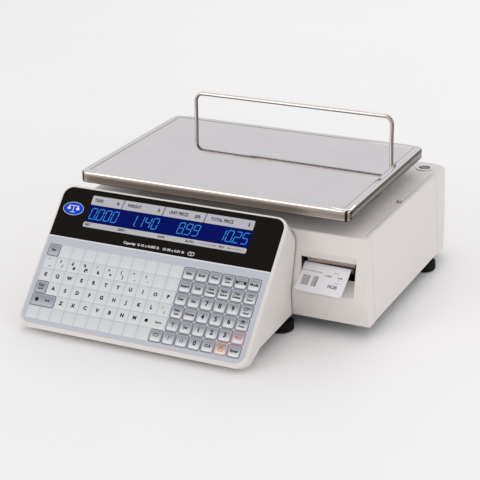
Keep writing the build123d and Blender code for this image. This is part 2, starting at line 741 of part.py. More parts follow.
def printer_axles():
    """Fixed axles riveted in the side plate: idler, rewind spool, head and lever."""
    return [
        rod_x(2.0, (86, PLATE_X[1]), idler_place()),
        rod_x(4.0, (PLATE_X[1], 152), REWIND),
        rod_x(3.0, (PLATE_X[1], 162), HEAD_PIVOT),
        rod_x(2.0, (PLATE_X[1], 171), LEVER_PIVOT),
    ]


def peel_bar():
    """Thin bar over which the label leaves its backing."""
    z = PLATEN[1]
    section = [(-63.6, z + 5.2), (-58.2, z + 6.4), (-58.2, z - 1), (-60.2, z - 1)]
    return prism_x(section, (PLATE_X[1], 164.5))


def label():
    """Printed label waiting in the pocket: out flat, then drooping, a little askew."""
    top = Spline(*LABEL_PATH)
    low = Spline(*[(y + 0.15, z - 0.25) for y, z in LABEL_PATH])
    ends = Line(top @ 0, low @ 0) + Line(top @ 1, low @ 1)
    face = Plane.YZ.offset(-LABEL_WIDTH / 2) * make_face(top + low + ends)
    strip = Pos(0, -LABEL_EXIT[1], 0) * extrude(face, LABEL_WIDTH, dir=(1, 0, 0))
    return Pos(*LABEL_EXIT, 0) * Rot(0, 0, -LABEL_SKEW) * strip


# ---------------------------------------------------------------- electrics
def main_board():
    return block((-181, -91), (-45, 75), (27, 28.6))


def board_components():
    """Processor, memory, capacitors and connectors on the main board."""
    top = 28.6
    parts = [
        block((-150, -128), (0, 22), (top, top + 2.2)),
        block((-120, -104), (2, 12), (top, top + 1.6)),
        block((-120, -104), (16, 26), (top, top + 1.6)),
        block((-178, -150), (-43, -36), (top, top + 9)),
        block((-135, -108), (-43, -36), (top, top + 9)),
        block((-176, -170), (10, 50), (top, top + 8)),
        rod_z(5, (top, top + 12), (-140, 55)),
        rod_z(5, (top, top + 12), (-127, 55)),
        rod_z(6.5, (top, top + 14), (-108, 58)),
        rod_z(10, (top, top + 3.2), (-158, 55)),
    ]
    return parts


def power_supply_case():
    """Potted mains supply in a ribbed steel box."""
    case = block((-160, -85), (86, 176), (FLOOR_TOP, 57))
    for k in range(8):
        x = -154 + 8.5 * k
        case -= block((x, x + 4), (95, 167), (54, 60))
    return case


def power_inlet():
    """Mains appliance inlet in the rear wall."""
    x, z = INLET_CUT
    body = block(x, (192, BACK_Y), z)
    body += block(grown(x, 5), (BACK_Y, BACK_Y + 2), grown(z, 2.5))
    body -= block(grown(x, -1.8), (197, 220), grown(z, -1.8))
    for pin in inlet_pins():
        body -= pin
    return body


def inlet_pins():
    x, z = sum(INLET_CUT[0]) / 2, sum(INLET_CUT[1]) / 2
    places = [(x - 7, z - 1.5), (x + 7, z - 1.5), (x, z + 2.5)]
    return [block((px - 1, px + 1), (186, BACK_Y - 4), (pz - 2, pz + 2)) for px, pz in places]


def switch_frame():
    x, z = SWITCH_CUT
    frame = block(x, (196, BACK_Y), z) + block(grown(x, 1.5), (BACK_Y, BACK_Y + 1.5), grown(z, 1.2))
    frame -= rod_z(ROCKER_PIN_R + RUN, grown(z, -0.4), (sum(x) / 2, ROCKER_Y))
    return frame - block(grown(x, -1.6), (200, 220), grown(z, -1.6))


def switch_rocker():
    """Rocker of the mains switch: dished, and tipped about its upright pivot."""
    x, z = SWITCH_CUT
    outline = [(-7.6, 2.2), (0, 1.2), (7.6, 2.2), (6.4, -5.0), (-6.4, -5.0)]
    rocker = extrude(make_face(Polyline(*outline, close=True)), z[1] - z[0] - 4.4)
    rocker = Pos(sum(x) / 2, ROCKER_Y, z[0] + 2.2) * Rot(0, 0, ROCKER_TIP) * rocker
    return rocker + rod_z(ROCKER_PIN_R, grown(z, -0.6), (sum(x) / 2, ROCKER_Y))


def data_port():
    """Network socket in the rear wall."""
    x, z = PORT_CUT
    body = block(x, (191, BACK_Y + 0.5), z)
    return body - block(grown(x, -2.2), (199, 220), (z[0] + 2.2, z[1] - 3.4))


def level_ring():
    ring = rod_z(10.5, (CASE_TOP, CASE_TOP + 1.2), LEVEL_AT) + rod_z(9.0, (110, CASE_TOP), LEVEL_AT)
    return ring - rod_z(7.6, (112, 125), LEVEL_AT)


def level_vial():
    vial = rod_z(7.6, (112, CASE_TOP + 0.9), LEVEL_AT)
    return vial - level_bubble()


def level_bubble():
    return rod_z(2.4, (116.2, 117.4), LEVEL_AT)


# ---------------------------------------------------------------- build
def build():
    os.makedirs("parts", exist_ok=True)
    body = outer_body()
    cavity = body_block(WALL)
    save("main_housing", main_housing(body, cavity))
    save("side_door", side_door(body, cavity))
    save("base_tray", base_tray())
    save("foot_inserts", *foot_inserts())
    for name, at in FEET.items():
        save(f"foot_pad_{name}", foot_pad(at))
        save(f"foot_knob_{name}", foot_knob(at))
    save("pan_screws", *pan_screws())

    save("console_shell", console_shell())
    save("keypad_overlay", keypad_overlay())
    save("key_domes", *key_domes())
    save("membrane_circuit", membrane_circuit())
    save("display_panel", display_panel())
    save("display_window", display_window())
    save("lcd_module", lcd_module())
    save("display_board", display_board())

    save("platter", platter())
    save("guard_rail", guard_rail())
    save("rail_sockets", *rail_sockets())
    save("spider", spider())
    save("platter_buffers", *platter_buffers())
    save("hub_bracket", hub_bracket())
    save("socket_screws", *hub_screws(), *cell_screws())
    save("load_cell", load_cell())
    save("cell_spacers", *cell_spacers())
    save("overload_stops", *overload_stops())

    platen_phase, idler_phase, pinion_phase = gear_phases()
    save("printer_plate", printer_plate())
    save("outer_bracket", outer_bracket(), pocket_cheek())
    save("printer_axles", *printer_axles())
    save("platen_shaft", platen_shaft())
    save("platen_roller", platen_roller())
    save("platen_gear", at_yz(gear(PLATEN_TEETH, 3.0, platen_phase), PLATEN))
    save("idler_gear", at_yz(gear(IDLER_TEETH, 2.0 + RUN, idler_phase), idler_place()))
    save("stepper_motor", stepper_motor())
    save("motor_pinion", motor_pinion(pinion_phase))
    save("label_spindle", label_spindle())
    save("label_roll", label_roll())
    save("roll_core", roll_core())
    save("roll_guide", roll_guide())
    save("rewind_spool", rewind_spool())
    save("head_bracket", head_bracket())
    save("print_head", *print_head())
    save("head_lever", head_lever())
    save("peel_bar", peel_bar())
    save("label", label())

    save("main_board", main_board())
    save("board_components", *board_components())
    save("power_supply", power_supply_case())
    save("power_inlet", power_inlet())
    save("inlet_pins", *inlet_pins())
    save("switch_frame", switch_frame())
    save("switch_rocker", switch_rocker())
    save("data_port", data_port())
    save("level_ring", level_ring())
    save("level_vial", level_vial())


build()
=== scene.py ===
import json
from math import cos, pi, radians, sin, sqrt

import bpy
from mathutils import Matrix, Vector


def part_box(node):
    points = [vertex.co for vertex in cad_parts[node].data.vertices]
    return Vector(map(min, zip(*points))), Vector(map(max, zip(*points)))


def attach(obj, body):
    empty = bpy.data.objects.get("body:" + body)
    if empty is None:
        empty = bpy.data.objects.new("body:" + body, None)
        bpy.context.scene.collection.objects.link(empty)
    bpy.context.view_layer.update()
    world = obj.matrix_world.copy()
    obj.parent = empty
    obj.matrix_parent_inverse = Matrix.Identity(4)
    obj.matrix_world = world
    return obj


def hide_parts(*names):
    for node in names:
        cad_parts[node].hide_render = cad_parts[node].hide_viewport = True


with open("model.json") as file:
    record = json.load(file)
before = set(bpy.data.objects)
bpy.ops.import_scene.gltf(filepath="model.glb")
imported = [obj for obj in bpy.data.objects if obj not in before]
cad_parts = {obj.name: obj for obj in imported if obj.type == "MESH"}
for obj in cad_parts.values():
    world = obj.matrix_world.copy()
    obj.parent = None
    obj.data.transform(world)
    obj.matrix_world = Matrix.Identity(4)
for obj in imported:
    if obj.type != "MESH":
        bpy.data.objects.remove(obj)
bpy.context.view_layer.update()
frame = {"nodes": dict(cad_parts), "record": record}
MM = 0.001

# ------------------------------------------------------------------ the console face
# u runs along +X, v up the slope, n out of the face; all three in millimetres
SLOPE = radians(46.85)
U_AXIS = Vector((1, 0, 0))
V_AXIS = Vector((0, cos(SLOPE), sin(SLOPE)))
N_AXIS = Vector((0, -sin(SLOPE), cos(SLOPE)))
OVERLAY_EDGE = 5.5            # the overlay reaches this far outside the key grid
OVERLAY_THICK = 0.8
overlay_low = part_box("keypad_overlay")[0]
FACE_ORIGIN = Vector((
    overlay_low.x + OVERLAY_EDGE * MM,
    overlay_low.y + OVERLAY_EDGE * MM * cos(SLOPE),
    overlay_low.z + OVERLAY_EDGE * MM * sin(SLOPE) + OVERLAY_THICK * MM * cos(SLOPE),
))
FACE_TURN = Matrix((U_AXIS, V_AXIS, N_AXIS)).transposed().to_4x4()
FACE = Matrix.Translation(FACE_ORIGIN) @ FACE_TURN @ Matrix.Scale(MM, 4)
KEY_U, KEY_V = 16.0, 15.5
COLUMNS, ROWS = 17, 6
PANEL_LOW_V = 102.2
WINDOW_U = (34.5, 242.2)
WINDOW_V = (126.5, 147.5)


# ------------------------------------------------------------------ node materials
SEAM_WIDTH = 0.005            # painted shade darkens gaps narrower than this, metres
SEAM_PAINTED_SHADE = 0.16             # how much of the plastic's colour the painted shade leaves deep in them


def rgb(red, green, blue):
    """A colour given as it looks on screen (0 to 255), as linear light."""
    def linear(value):
        value /= 255
        return value / 12.92 if value <= 0.04045 else ((value + 0.055) / 1.055) ** 2.4
    return (linear(red), linear(green), linear(blue), 1.0)


class Nodes:
    """A small helper to wire up a material's nodes."""

    def __init__(self, name):
        self.material = bpy.data.materials.new(name)
        self.material.use_nodes = True
        self.tree = self.material.node_tree
        self.shader = self.tree.nodes["Principled BSDF"]

    def add(self, kind, inputs=None, **settings):
        node = self.tree.nodes.new(kind)
        for key, value in settings.items():
            setattr(node, key, value)
        for key, value in (inputs or {}).items():
            if isinstance(value, bpy.types.NodeSocket):
                self.tree.links.new(value, node.inputs[key])
            else:
                node.inputs[key].default_value = value
        return node

    def link(self, output, name):
        self.tree.links.new(output, self.shader.inputs[name])

    def place(self):
        return self.add("ShaderNodeTexCoord").outputs["Object"]

    def noise(self, scale, detail=3.0, roughness=0.5, place=None):
        inputs = {
            "Vector": place or self.place(), "Scale": scale, "Detail": detail,
            "Roughness": roughness,
        }
        return self.add("ShaderNodeTexNoise", inputs).outputs["Fac"]

    def ranged(self, value, low, high, from_low=0.0, from_high=1.0):
        inputs = {
            "Value": value, "From Min": from_low, "From Max": from_high,
            "To Min": low, "To Max": high,
        }
        return self.add("ShaderNodeMapRange", inputs).outputs["Result"]

    def mix(self, factor, first, second, blend="MIX"):
        node = self.add("ShaderNodeMix", data_type="RGBA", blend_type=blend)
        for name, value in (("Factor", factor), ("A", first), ("B", second)):
            sockets = [s for s in node.inputs if s.name == name and s.type != "VECTOR"]
            socket = [s for s in sockets if (s.type == "RGBA") == (name != "Factor")][0]
            if isinstance(value, bpy.types.NodeSocket):
                self.tree.links.new(value, socket)
            else:
                socket.default_value = value
        return [s for s in node.outputs if s.type == "RGBA"][0]

    def ramp(self, value, stops):
        """A grey that follows (position, level) stops."""
        node = self.add("ShaderNodeValToRGB", {"Fac": value})
        while len(node.color_ramp.elements) < len(stops):
            node.color_ramp.elements.new(0.5)
        for element, (where, level) in zip(node.color_ramp.elements, stops):
            element.position = where
            element.color = (level, level, level, 1)
        return node.outputs["Color"]

    def bump(self, height, strength, distance):
        inputs = {"Height": height, "Strength": strength, "Distance": distance}
        self.link(self.add("ShaderNodeBump", inputs).outputs["Normal"], "Normal")

    def crevice_painted_shade(self, distance, darkest):
        """Painted shade: 1 on open faces, falling to darkest deep in a seam narrower than the
        distance.
        """
        near = self.add("ShaderNodeAmbientOcclusion", {"Distance": distance}, samples=8)
        return self.ranged(near.outputs["AO"], darkest, 1.0, 0.2, 0.62)


def moulded(name, colour, roughness=0.45, grain=900.0, depth=0.00004, mottle=0.03, shine=0.5):
    """Moulded plastic: a fine spark-eroded grain, faint mottling, uneven gloss, and painted shade in
    its seams and hollows.
    """
    m = Nodes(name)
    place = m.place()
    fine = m.noise(grain, 2.0, place=place)
    broad = m.noise(9.0, 3.0, place=place)
    darker = tuple(c * (1 - mottle) for c in colour[:3]) + (1.0,)
    lighter = tuple(min(1.0, c * (1 + mottle)) for c in colour[:3]) + (1.0,)
    mottled = m.mix(broad, darker, lighter)
    # painted shade: the colour darkens where ambient occlusion finds seams and hollows
    m.link(m.mix(1.0, mottled, m.crevice_painted_shade(SEAM_WIDTH, SEAM_PAINTED_SHADE), "MULTIPLY"), "Base Color")
    m.link(m.ranged(broad, roughness - 0.05, roughness + 0.07), "Roughness")
    m.bump(fine, 0.35, depth)
    m.shader.inputs["Specular IOR Level"].default_value = shine
    return m.material


def metal(name, colour, roughness=0.25, scratch=(1.0, 1.0, 1.0), depth=0.00001, vary=0.06):
    """Metal with a directional finish: the noise is drawn out along the small scratch axis."""
    m = Nodes(name)
    place = m.place()
    mapping = m.add("ShaderNodeMapping", {"Vector": place, "Scale": scratch})
    lines = m.noise(700.0, 4.0, 0.6, mapping.outputs["Vector"])
    broad = m.noise(14.0, 3.0, place=place)
    darker = tuple(c * 0.9 for c in colour[:3]) + (1.0,)
    m.link(m.mix(broad, darker, colour), "Base Color")
    m.shader.inputs["Metallic"].default_value = 1.0
    m.link(m.ranged(lines, max(0.01, roughness - vary), roughness + vary), "Roughness")
    m.bump(lines, 0.25, depth)
    return m.material


def rubber(name, colour, roughness=0.75):
    m = Nodes(name)
    place = m.place()
    grain = m.noise(1400.0, 3.0, place=place)
    dust = m.noise(30.0, 5.0, 0.7, place)
    pale = tuple(c * 1.9 + 0.01 for c in colour[:3]) + (1.0,)
    m.link(m.mix(m.ranged(dust, 0.0, 0.5, 0.45, 0.8), colour, pale), "Base Color")
    m.link(m.ranged(dust, roughness - 0.08, roughness + 0.1), "Roughness")
    m.bump(grain, 0.4, 0.00005)
    return m.material


def paper(name, colour, fibre=1800.0, roughness=0.6):
    m = Nodes(name)
    place = m.place()
    fibres = m.noise(fibre, 6.0, 0.7, place)
    cloud = m.noise(60.0, 3.0, place=place)
    darker = tuple(c * 0.95 for c in colour[:3]) + (1.0,)
    m.link(m.mix(cloud, darker, colour), "Base Color")
    m.link(m.ranged(fibres, roughness - 0.08, roughness + 0.08), "Roughness")
    m.bump(fibres, 0.3, 0.00003)
    return m.material


def wound_paper(name, colour):
    """The side of a roll: fine rings round the roll's own axis, which lies along X."""
    m = Nodes(name)
    low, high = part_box("label_roll")
    middle = (low + high) / 2
    offset = m.add("ShaderNodeVectorMath", {0: m.place(), 1: tuple(middle)}, operation="SUBTRACT")
    flat = m.add("ShaderNodeVectorMath", {0: offset.outputs[0], 1: (0, 1, 1)}, operation="MULTIPLY")
    radius = m.add("ShaderNodeVectorMath", {0: flat.outputs[0]}, operation="LENGTH")
    wave = m.add("ShaderNodeMath", {0: radius.outputs["Value"], 1: 9000.0}, operation="MULTIPLY")
    rings = m.add("ShaderNodeMath", {0: wave.outputs[0]}, operation="SINE").outputs[0]
    shade = m.ranged(rings, 0.0, 0.35, -1.0, 1.0)
    darker = tuple(c * 0.72 for c in colour[:3]) + (1.0,)
    m.link(m.mix(shade, colour, darker), "Base Color")
    m.link(m.ranged(m.noise(900.0), 0.5, 0.7), "Roughness")
    m.bump(rings, 0.2, 0.00005)
    return m.material


def printed(name, colour, roughness=0.4, coat=0.0, shine=0.5):
    """Ink or film: an even colour with a slight orange peel."""
    m = Nodes(name)
    place = m.place()
    peel = m.noise(450.0, 2.0, place=place)
    broad = m.noise(25.0, 2.0, place=place)
    darker = tuple(c * 0.96 for c in colour[:3]) + (1.0,)
    m.link(m.mix(broad, darker, colour), "Base Color")
    m.link(m.ranged(broad, roughness - 0.04, roughness + 0.05), "Roughness")
    m.bump(peel, 0.12, 0.00002)
    m.shader.inputs["Specular IOR Level"].default_value = shine
    m.shader.inputs["Coat Weight"].default_value = coat
    m.shader.inputs["Coat Roughness"].default_value = 0.08
    return m.material


def glowing(name, glow, strength):
    """Lit liquid crystal: dark in itself, with an uneven backlight."""
    m = Nodes(name)
    vary = m.noise(40.0, 2.0)
    darker = tuple(c * 0.8 for c in glow[:3]) + (1.0,)
    m.shader.inputs["Base Color"].default_value = (0.001, 0.001, 0.002, 1)
    m.shader.inputs["Specular IOR Level"].default_value = 0.02
    m.link(m.mix(vary, darker, glow), "Emission Color")
    m.shader.inputs["Emission Strength"].default_value = strength
    m.link(m.ranged(vary, 0.3, 0.5), "Roughness")
    m.bump(m.noise(900.0, 2.0), 0.05, 0.00001)
    return m.material


# (position, level) stops of painted reflection: up the skirt at the front and at the sides, and
# round its corners
SKIRT_FRONT_PAINTED_REFLECTION = (
    (0.0, 0.03), (0.05, 0.04), (0.10, 0.62), (0.18, 0.40), (0.45, 0.27), (0.68, 0.36),
    (0.76, 0.50), (0.84, 0.95), (0.93, 0.95),
)
SKIRT_SIDE_PAINTED_REFLECTION = (
    (0.0, 0.16), (0.17, 0.20), (0.20, 0.02), (0.26, 0.03), (0.31, 0.19), (0.56, 0.24),
    (0.62, 0.012), (0.86, 0.010), (0.95, 0.5),
)
SKIRT_CORNER_PAINTED_REFLECTION = (
    (0.0, 1.0), (0.22, 1.0), (0.34, 0.05), (0.55, 0.05), (0.64, 1.0), (0.82, 0.8),
    (0.92, 0.25), (0.97, 1.0),
)
# levels of the wire's painted highlight and painted reflections, by how far each face turns to the
# lit side
WIRE_PAINTED_LEVELS = (
    (0.0, 0.05), (0.52, 0.10), (0.62, 0.42), (0.72, 0.20), (0.84, 0.55), (0.93, 0.95),
)
PAINTED_HIGHLIGHT_SIDE = (-0.42, -0.62, 0.66)           # the side the wire's painted highlight faces


def skirt_painted_reflection(name):
    """Turned-down steel edge with painted reflections in its colour: brown bands with a dark line
    under the rim and at the hem, and the hard light and dark bands that polished steel shows round a
    corner, set by height and facing."""
    m = Nodes(name)
    low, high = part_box("platter")
    place = m.place()
    up = m.add("ShaderNodeSeparateXYZ", {0: place}).outputs["Z"]
    up = m.ranged(up, 0.0, 1.0, low.z, high.z)
    # painted reflection: bands up the skirt for the front and the sides, and light and dark bands
    # round its corners
    front = m.ramp(up, SKIRT_FRONT_PAINTED_REFLECTION)
    side = m.ramp(up, SKIRT_SIDE_PAINTED_REFLECTION)
    normal = m.add("ShaderNodeNewGeometry").outputs["Normal"]
    turn = m.add("ShaderNodeSeparateXYZ", {0: normal}).outputs["X"]
    turn = m.add("ShaderNodeMath", {0: turn}, operation="ABSOLUTE").outputs[0]
    corner = m.ramp(turn, SKIRT_CORNER_PAINTED_REFLECTION)
    drawn = {"Vector": place, "Scale": (0.02, 0.02, 1.0)}
    lines = m.add("ShaderNodeMapping", drawn).outputs["Vector"]
    lines = m.noise(500.0, 4.0, 0.6, lines)
    colour = m.mix(m.ranged(turn, 0.0, 1.0, 0.7, 0.95), front, side)
    colour = m.mix(1.0, colour, corner, "MULTIPLY")
    colour = m.mix(1.0, colour, m.ranged(lines, 0.84, 1.14), "MULTIPLY")
    # the painted reflection is tinted warm brown
    m.link(m.mix(1.0, colour, (1.0, 0.88, 0.79, 1), "MULTIPLY"), "Base Color")
    m.shader.inputs["Metallic"].default_value = 1.0
    m.link(m.ranged(lines, 0.14, 0.24), "Roughness")
    m.bump(lines, 0.15, 0.00001)
    return m.material


def wire_painted_highlight(name, colour):
    """Polished wire: a painted bright line along its lit side and painted dark reflections along the
    others.
    """
    m = Nodes(name)
    normal = m.add("ShaderNodeNewGeometry").outputs["Normal"]
    lit = m.add("ShaderNodeVectorMath", {0: normal, 1: PAINTED_HIGHLIGHT_SIDE}, operation="DOT_PRODUCT")
    # painted highlight and reflection: the colour follows how far each face turns to the lit side
    level = m.ramp(m.ranged(lit.outputs["Value"], 0.0, 1.0, -1.0, 1.0), WIRE_PAINTED_LEVELS)
    drawn = m.noise(600.0, 3.0)
    m.link(m.mix(1.0, level, colour, "MULTIPLY"), "Base Color")
    m.shader.inputs["Metallic"].default_value = 1.0
    m.link(m.ranged(drawn, 0.08, 0.16), "Roughness")
    m.bump(drawn, 0.1, 0.00001)
    return m.material


def key_print(name, top, bottom, middle_glow=0.0):
    """Printed key: shaded from the top of each key to its bottom by the key's own coordinates."""
    m = Nodes(name)
    across = m.add("ShaderNodeAttribute", attribute_name="key_u").outputs["Fac"]
    up = m.add("ShaderNodeAttribute", attribute_name="key_v").outputs["Fac"]
    ramp = m.ranged(up, 0.0, 1.0, 0.12, 0.8)
    colour = m.mix(ramp, bottom, top)
    warm = m.add("ShaderNodeMath", {0: across, 1: 0.5}, operation="SUBTRACT").outputs[0]
    warm = m.add("ShaderNodeMath", {0: warm}, operation="ABSOLUTE").outputs[0]
    warm = m.ranged(warm, middle_glow, 0.0, 0.0, 0.5)
    colour = m.mix(warm, colour, rgb(226, 221, 217))
    m.link(colour, "Base Color")
    peel = m.noise(500.0, 2.0)
    m.link(m.ranged(m.noise(30.0), 0.26, 0.38), "Roughness")
    m.bump(peel, 0.12, 0.00002)
    m.shader.inputs["Coat Weight"].default_value = 0.12
    m.shader.inputs["Coat Roughness"].default_value = 0.15
    return m.material


def clear(name, colour, roughness=0.04):
    m = Nodes(name)
    m.shader.inputs["Base Color"].default_value = colour
    m.shader.inputs["Transmission Weight"].default_value = 0.9
    m.shader.inputs["IOR"].default_value = 1.46
    m.link(m.ranged(m.noise(60.0), roughness, roughness + 0.04), "Roughness")
    return m.material


def circuit_board(name, colour):
    """Green solder mask over a faint pattern of tracks."""
    m = Nodes(name)
    place = m.place()
    brick = m.add("ShaderNodeTexBrick", {
        "Vector": place, "Color1": (1, 1, 1, 1), "Color2": (0.6, 0.6, 0.6, 1),
        "Mortar": (0, 0, 0, 1), "Scale": 160.0, "Mortar Size": 0.06,
    })
    tracks = m.ranged(brick.outputs["Fac"], 0.0, 1.0)
    paler = tuple(c * 1.7 + 0.01 for c in colour[:3]) + (1.0,)
    m.link(m.mix(tracks, paler, colour), "Base Color")
    m.link(m.ranged(m.noise(300.0), 0.25, 0.4), "Roughness")
    m.bump(tracks, 0.3, 0.00004)
    return m.material


CASE_COLOUR = rgb(226, 221, 218)
MATERIALS = {
    "case_white": moulded("case_plastic", CASE_COLOUR, 0.42),
    "tray_grey": moulded("tray_plastic", rgb(92, 92, 94), 0.6, grain=600.0, depth=0.0001),
    "keypad_print": printed("overlay_film", rgb(194, 197, 207), 0.34, coat=0.1),
    "panel_black": printed("panel_gloss", rgb(25, 22, 19), 0.5, shine=0.03),
    "window_blue": clear("window_clear", (0.3, 0.4, 0.9, 1.0)),
    "lcd_blue": glowing("lcd_field", rgb(2, 15, 98), 1.0),
    "board_green": circuit_board("solder_mask", rgb(20, 84, 48)),
    "component_black": moulded("package_epoxy", rgb(32, 32, 34), 0.55),
    "laminate": printed("laminate_film", rgb(190, 178, 140), 0.35),
    "stainless_polished": metal(
        "stainless_mirror", (0.80, 0.79, 0.82, 1), 0.05, vary=0.02, depth=0.000002),
    # wire with a painted highlight and painted reflections
    "chrome_wire": wire_painted_highlight("chromed_wire", (0.96, 0.86, 0.80, 1)),
    "steel": metal("zinc_steel", (0.62, 0.62, 0.60, 1), 0.3),
    "steel_warm": metal(
        "bracket_steel", (0.40, 0.34, 0.29, 1), 0.36, scratch=(0.04, 1, 1), vary=0.1),
    "aluminium": metal("machined_alloy", (0.75, 0.75, 0.76, 1), 0.28, scratch=(0.03, 1, 1)),
    "cast_alloy": moulded("stoved_casting", rgb(48, 47, 46), 0.55, grain=500.0, depth=0.00012),
    "brass": metal("turned_brass", (0.80, 0.58, 0.26, 1), 0.25),
    "rubber_black": rubber("black_rubber", rgb(34, 33, 32)),
    "knob_black": moulded(
        "knob_plastic", rgb(16, 15, 14), 0.6, grain=700.0, depth=0.00008, shine=0.15),
    "gear_acetal": moulded("acetal", rgb(232, 228, 214), 0.35),
    "plastic_black": moulded("black_plastic", rgb(20, 19, 18), 0.5, shine=0.2),
    "head_ceramic": printed("alumina", rgb(214, 208, 198), 0.35),
    "label_paper": paper("label_stock", rgb(240, 238, 243)),
    "core_card": paper("core_card", rgb(176, 145, 104), 500.0, 0.8),
    "vial_clear": clear("vial_plastic", (0.85, 0.93, 0.97, 1.0)),
}
ROLL_SIDE = wound_paper("wound_label_roll", rgb(238, 236, 240))

# rounding of each node's edges, in metres, where it isn't the usual one
USUAL_EDGE = 0.0003
WELD_REACH = 0.000005
EDGE_WIDTH = {
    "main_housing": 0.0006, "side_door": 0.0005, "console_shell": 0.0006, "base_tray": 0.0005,
    "platen_gear": 0.00008, "idler_gear": 0.00008, "motor_pinion": 0.00008,
    "keypad_overlay": 0.0001, "membrane_circuit": 0.0001, "label": 0.00002,
    "key_domes": 0.00005,
}


def dress_cad_nodes():
    """Each CAD node gets its slot's material, welded and finely rounded edges."""
    for part in frame["record"]["subparts"]:
        node = frame["nodes"][part["node"]]
        material = MATERIALS[part["material_slot"]]
        if part["node"] == "label_roll":
            material = ROLL_SIDE
        for place in node.material_slots:
            place.material = material
        if not node.material_slots:
            node.data.materials.append(material)
        weld = node.modifiers.new("weld", "WELD")
        weld.merge_threshold = WELD_REACH
        bevel = node.modifiers.new("edge", "BEVEL")
        bevel.width = EDGE_WIDTH.get(part["node"], USUAL_EDGE)
        bevel.segments = 2
        bevel.limit_method = "ANGLE"
        bevel.angle_limit = radians(35)
        bevel.use_clamp_overlap = True


# ------------------------------------------------------------------ mesh tools
class Sheaf:
    """Gathers vertices and faces into one mesh, with a material for each face."""

    def __init__(self):
        self.points, self.faces, self.slots = [], [], []
        self.key_u, self.key_v = [], []

    def add(self, points, faces, slot=0, key=None):
        start = len(self.points)
        self.points += [tuple(p) for p in points]
        self.faces += [tuple(start + i for i in face) for face in faces]
        self.slots += slot if isinstance(slot, list) else [slot] * len(faces)
        for i in range(len(points)):
            self.key_u.append(key[i][0] if key else 0.0)
            self.key_v.append(key[i][1] if key else 0.0)

    def piece(self, name, materials, place=None, smooth=False, keyed=False, angle=30):
        mesh = bpy.data.meshes.new(name)
        mesh.from_pydata(self.points, [], self.faces)
        for material in materials:
            mesh.materials.append(material)
        mesh.polygons.foreach_set("material_index", self.slots)
        if keyed:
            for label, values in (("key_u", self.key_u), ("key_v", self.key_v)):
                mesh.attributes.new(label, "FLOAT", "POINT").data.foreach_set("value", values)
        if place is not None:
            mesh.transform(place)
        mesh.validate()
        mesh.update()
        if smooth:
            mesh.shade_smooth()
            mesh.set_sharp_from_angle(angle=radians(angle))
        piece = bpy.data.objects.new(name, mesh)
        bpy.context.scene.collection.objects.link(piece)
        return piece


def settle(piece, body, slot, *nodes):
    """Says which body a piece rides on and what it replaces; the slot is not used."""
    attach(piece, body)
    if nodes:
        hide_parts(*nodes)
    return piece


def rounded(width, height, radius, per_corner=5):
    """Points of a rounded rectangle about the origin, anticlockwise."""
    points = []
    for quarter, (sx, sy) in enumerate(((1, 1), (-1, 1), (-1, -1), (1, -1))):
        cx, cy = sx * (width / 2 - radius), sy * (height / 2 - radius)
        for k in range(per_corner):
            angle = quarter * pi / 2 + (pi / 2) * k / (per_corner - 1)
            points.append((cx + radius * cos(angle), cy + radius * sin(angle)))
    return points


def bridge(count, ring):
    """Side faces between ring number `ring` and the next, each of count points."""
    low, high = ring * count, (ring + 1) * count
    after = [(i + 1) % count for i in range(count)]
    return [(low + i, low + after[i], high + after[i], high + i) for i in range(count)]


def inset_outline(size, radius, inset, per_corner):
    """A rounded rectangle moved in by inset, its corners as much tighter."""
    corner = max(0.05, radius - inset)
    return rounded(size[0] - 2 * inset, size[1] - 2 * inset, corner, per_corner)


def pad(sheaf, centre, size, radius, levels, slot=0, per_corner=5):
    """A closed pad from rings of (inset, n): the first is its foot, the last its top."""
    points, keys, faces = [], [], []
    for inset, n in levels:
        for x, y in inset_outline(size, radius, inset, per_corner):
            points.append((centre[0] + x, centre[1] + y, n))
            keys.append((0.5 + x / size[0], 0.5 + y / size[1]))
    count = 4 * per_corner
    for ring in range(len(levels) - 1):
        faces += bridge(count, ring)
    faces.append(tuple(range(count))[::-1])
    faces.append(tuple((len(levels) - 1) * count + i for i in range(count)))
    sheaf.add(points, faces, slot, keys)


def band(sheaf, centre, size, radius, width, n, slot=0, per_corner=5):
    """A closed rectangular frame of the given width, n = (low, high)."""
    rings = []
    for inset, level in ((0, n[0]), (0, n[1]), (width, n[1]), (width, n[0])):
        outline = inset_outline(size, radius, inset, per_corner)
        rings += [(centre[0] + x, centre[1] + y, level) for x, y in outline]
    count = 4 * per_corner
    faces = bridge(count, 0) + bridge(count, 1) + bridge(count, 2)
    last = 3 * count
    faces += [(last + i, last + (i + 1) % count, (i + 1) % count, i) for i in range(count)]
    sheaf.add(rings, faces, slot)


def slab(sheaf, outline, n, slot=0):
    """A flat closed plate from an anticlockwise outline of (u, v)."""
    count = len(outline)
    points = [(u, v, n[0]) for u, v in outline] + [(u, v, n[1]) for u, v in outline]
    faces = bridge(count, 0) + [tuple(range(count))[::-1], tuple(range(count, 2 * count))]
    sheaf.add(points, faces, slot)


def rect(u, v, width, height):
    """An upright rectangle from its lower left corner."""
    return [(u, v), (u + width, v), (u + width, v + height), (u, v + height)]


def disc(sheaf, centre, radius, n, slot=0):
    oval(sheaf, centre, (radius, radius), n, slot, sides=24)


def oval(sheaf, centre, half, n, slot, sides=48):
    angles = [2 * pi * k / sides for k in range(sides)]
    outline = [(centre[0] + half[0] * cos(a), centre[1] + half[1] * sin(a)) for a in angles]
    slab(sheaf, outline, n, slot)


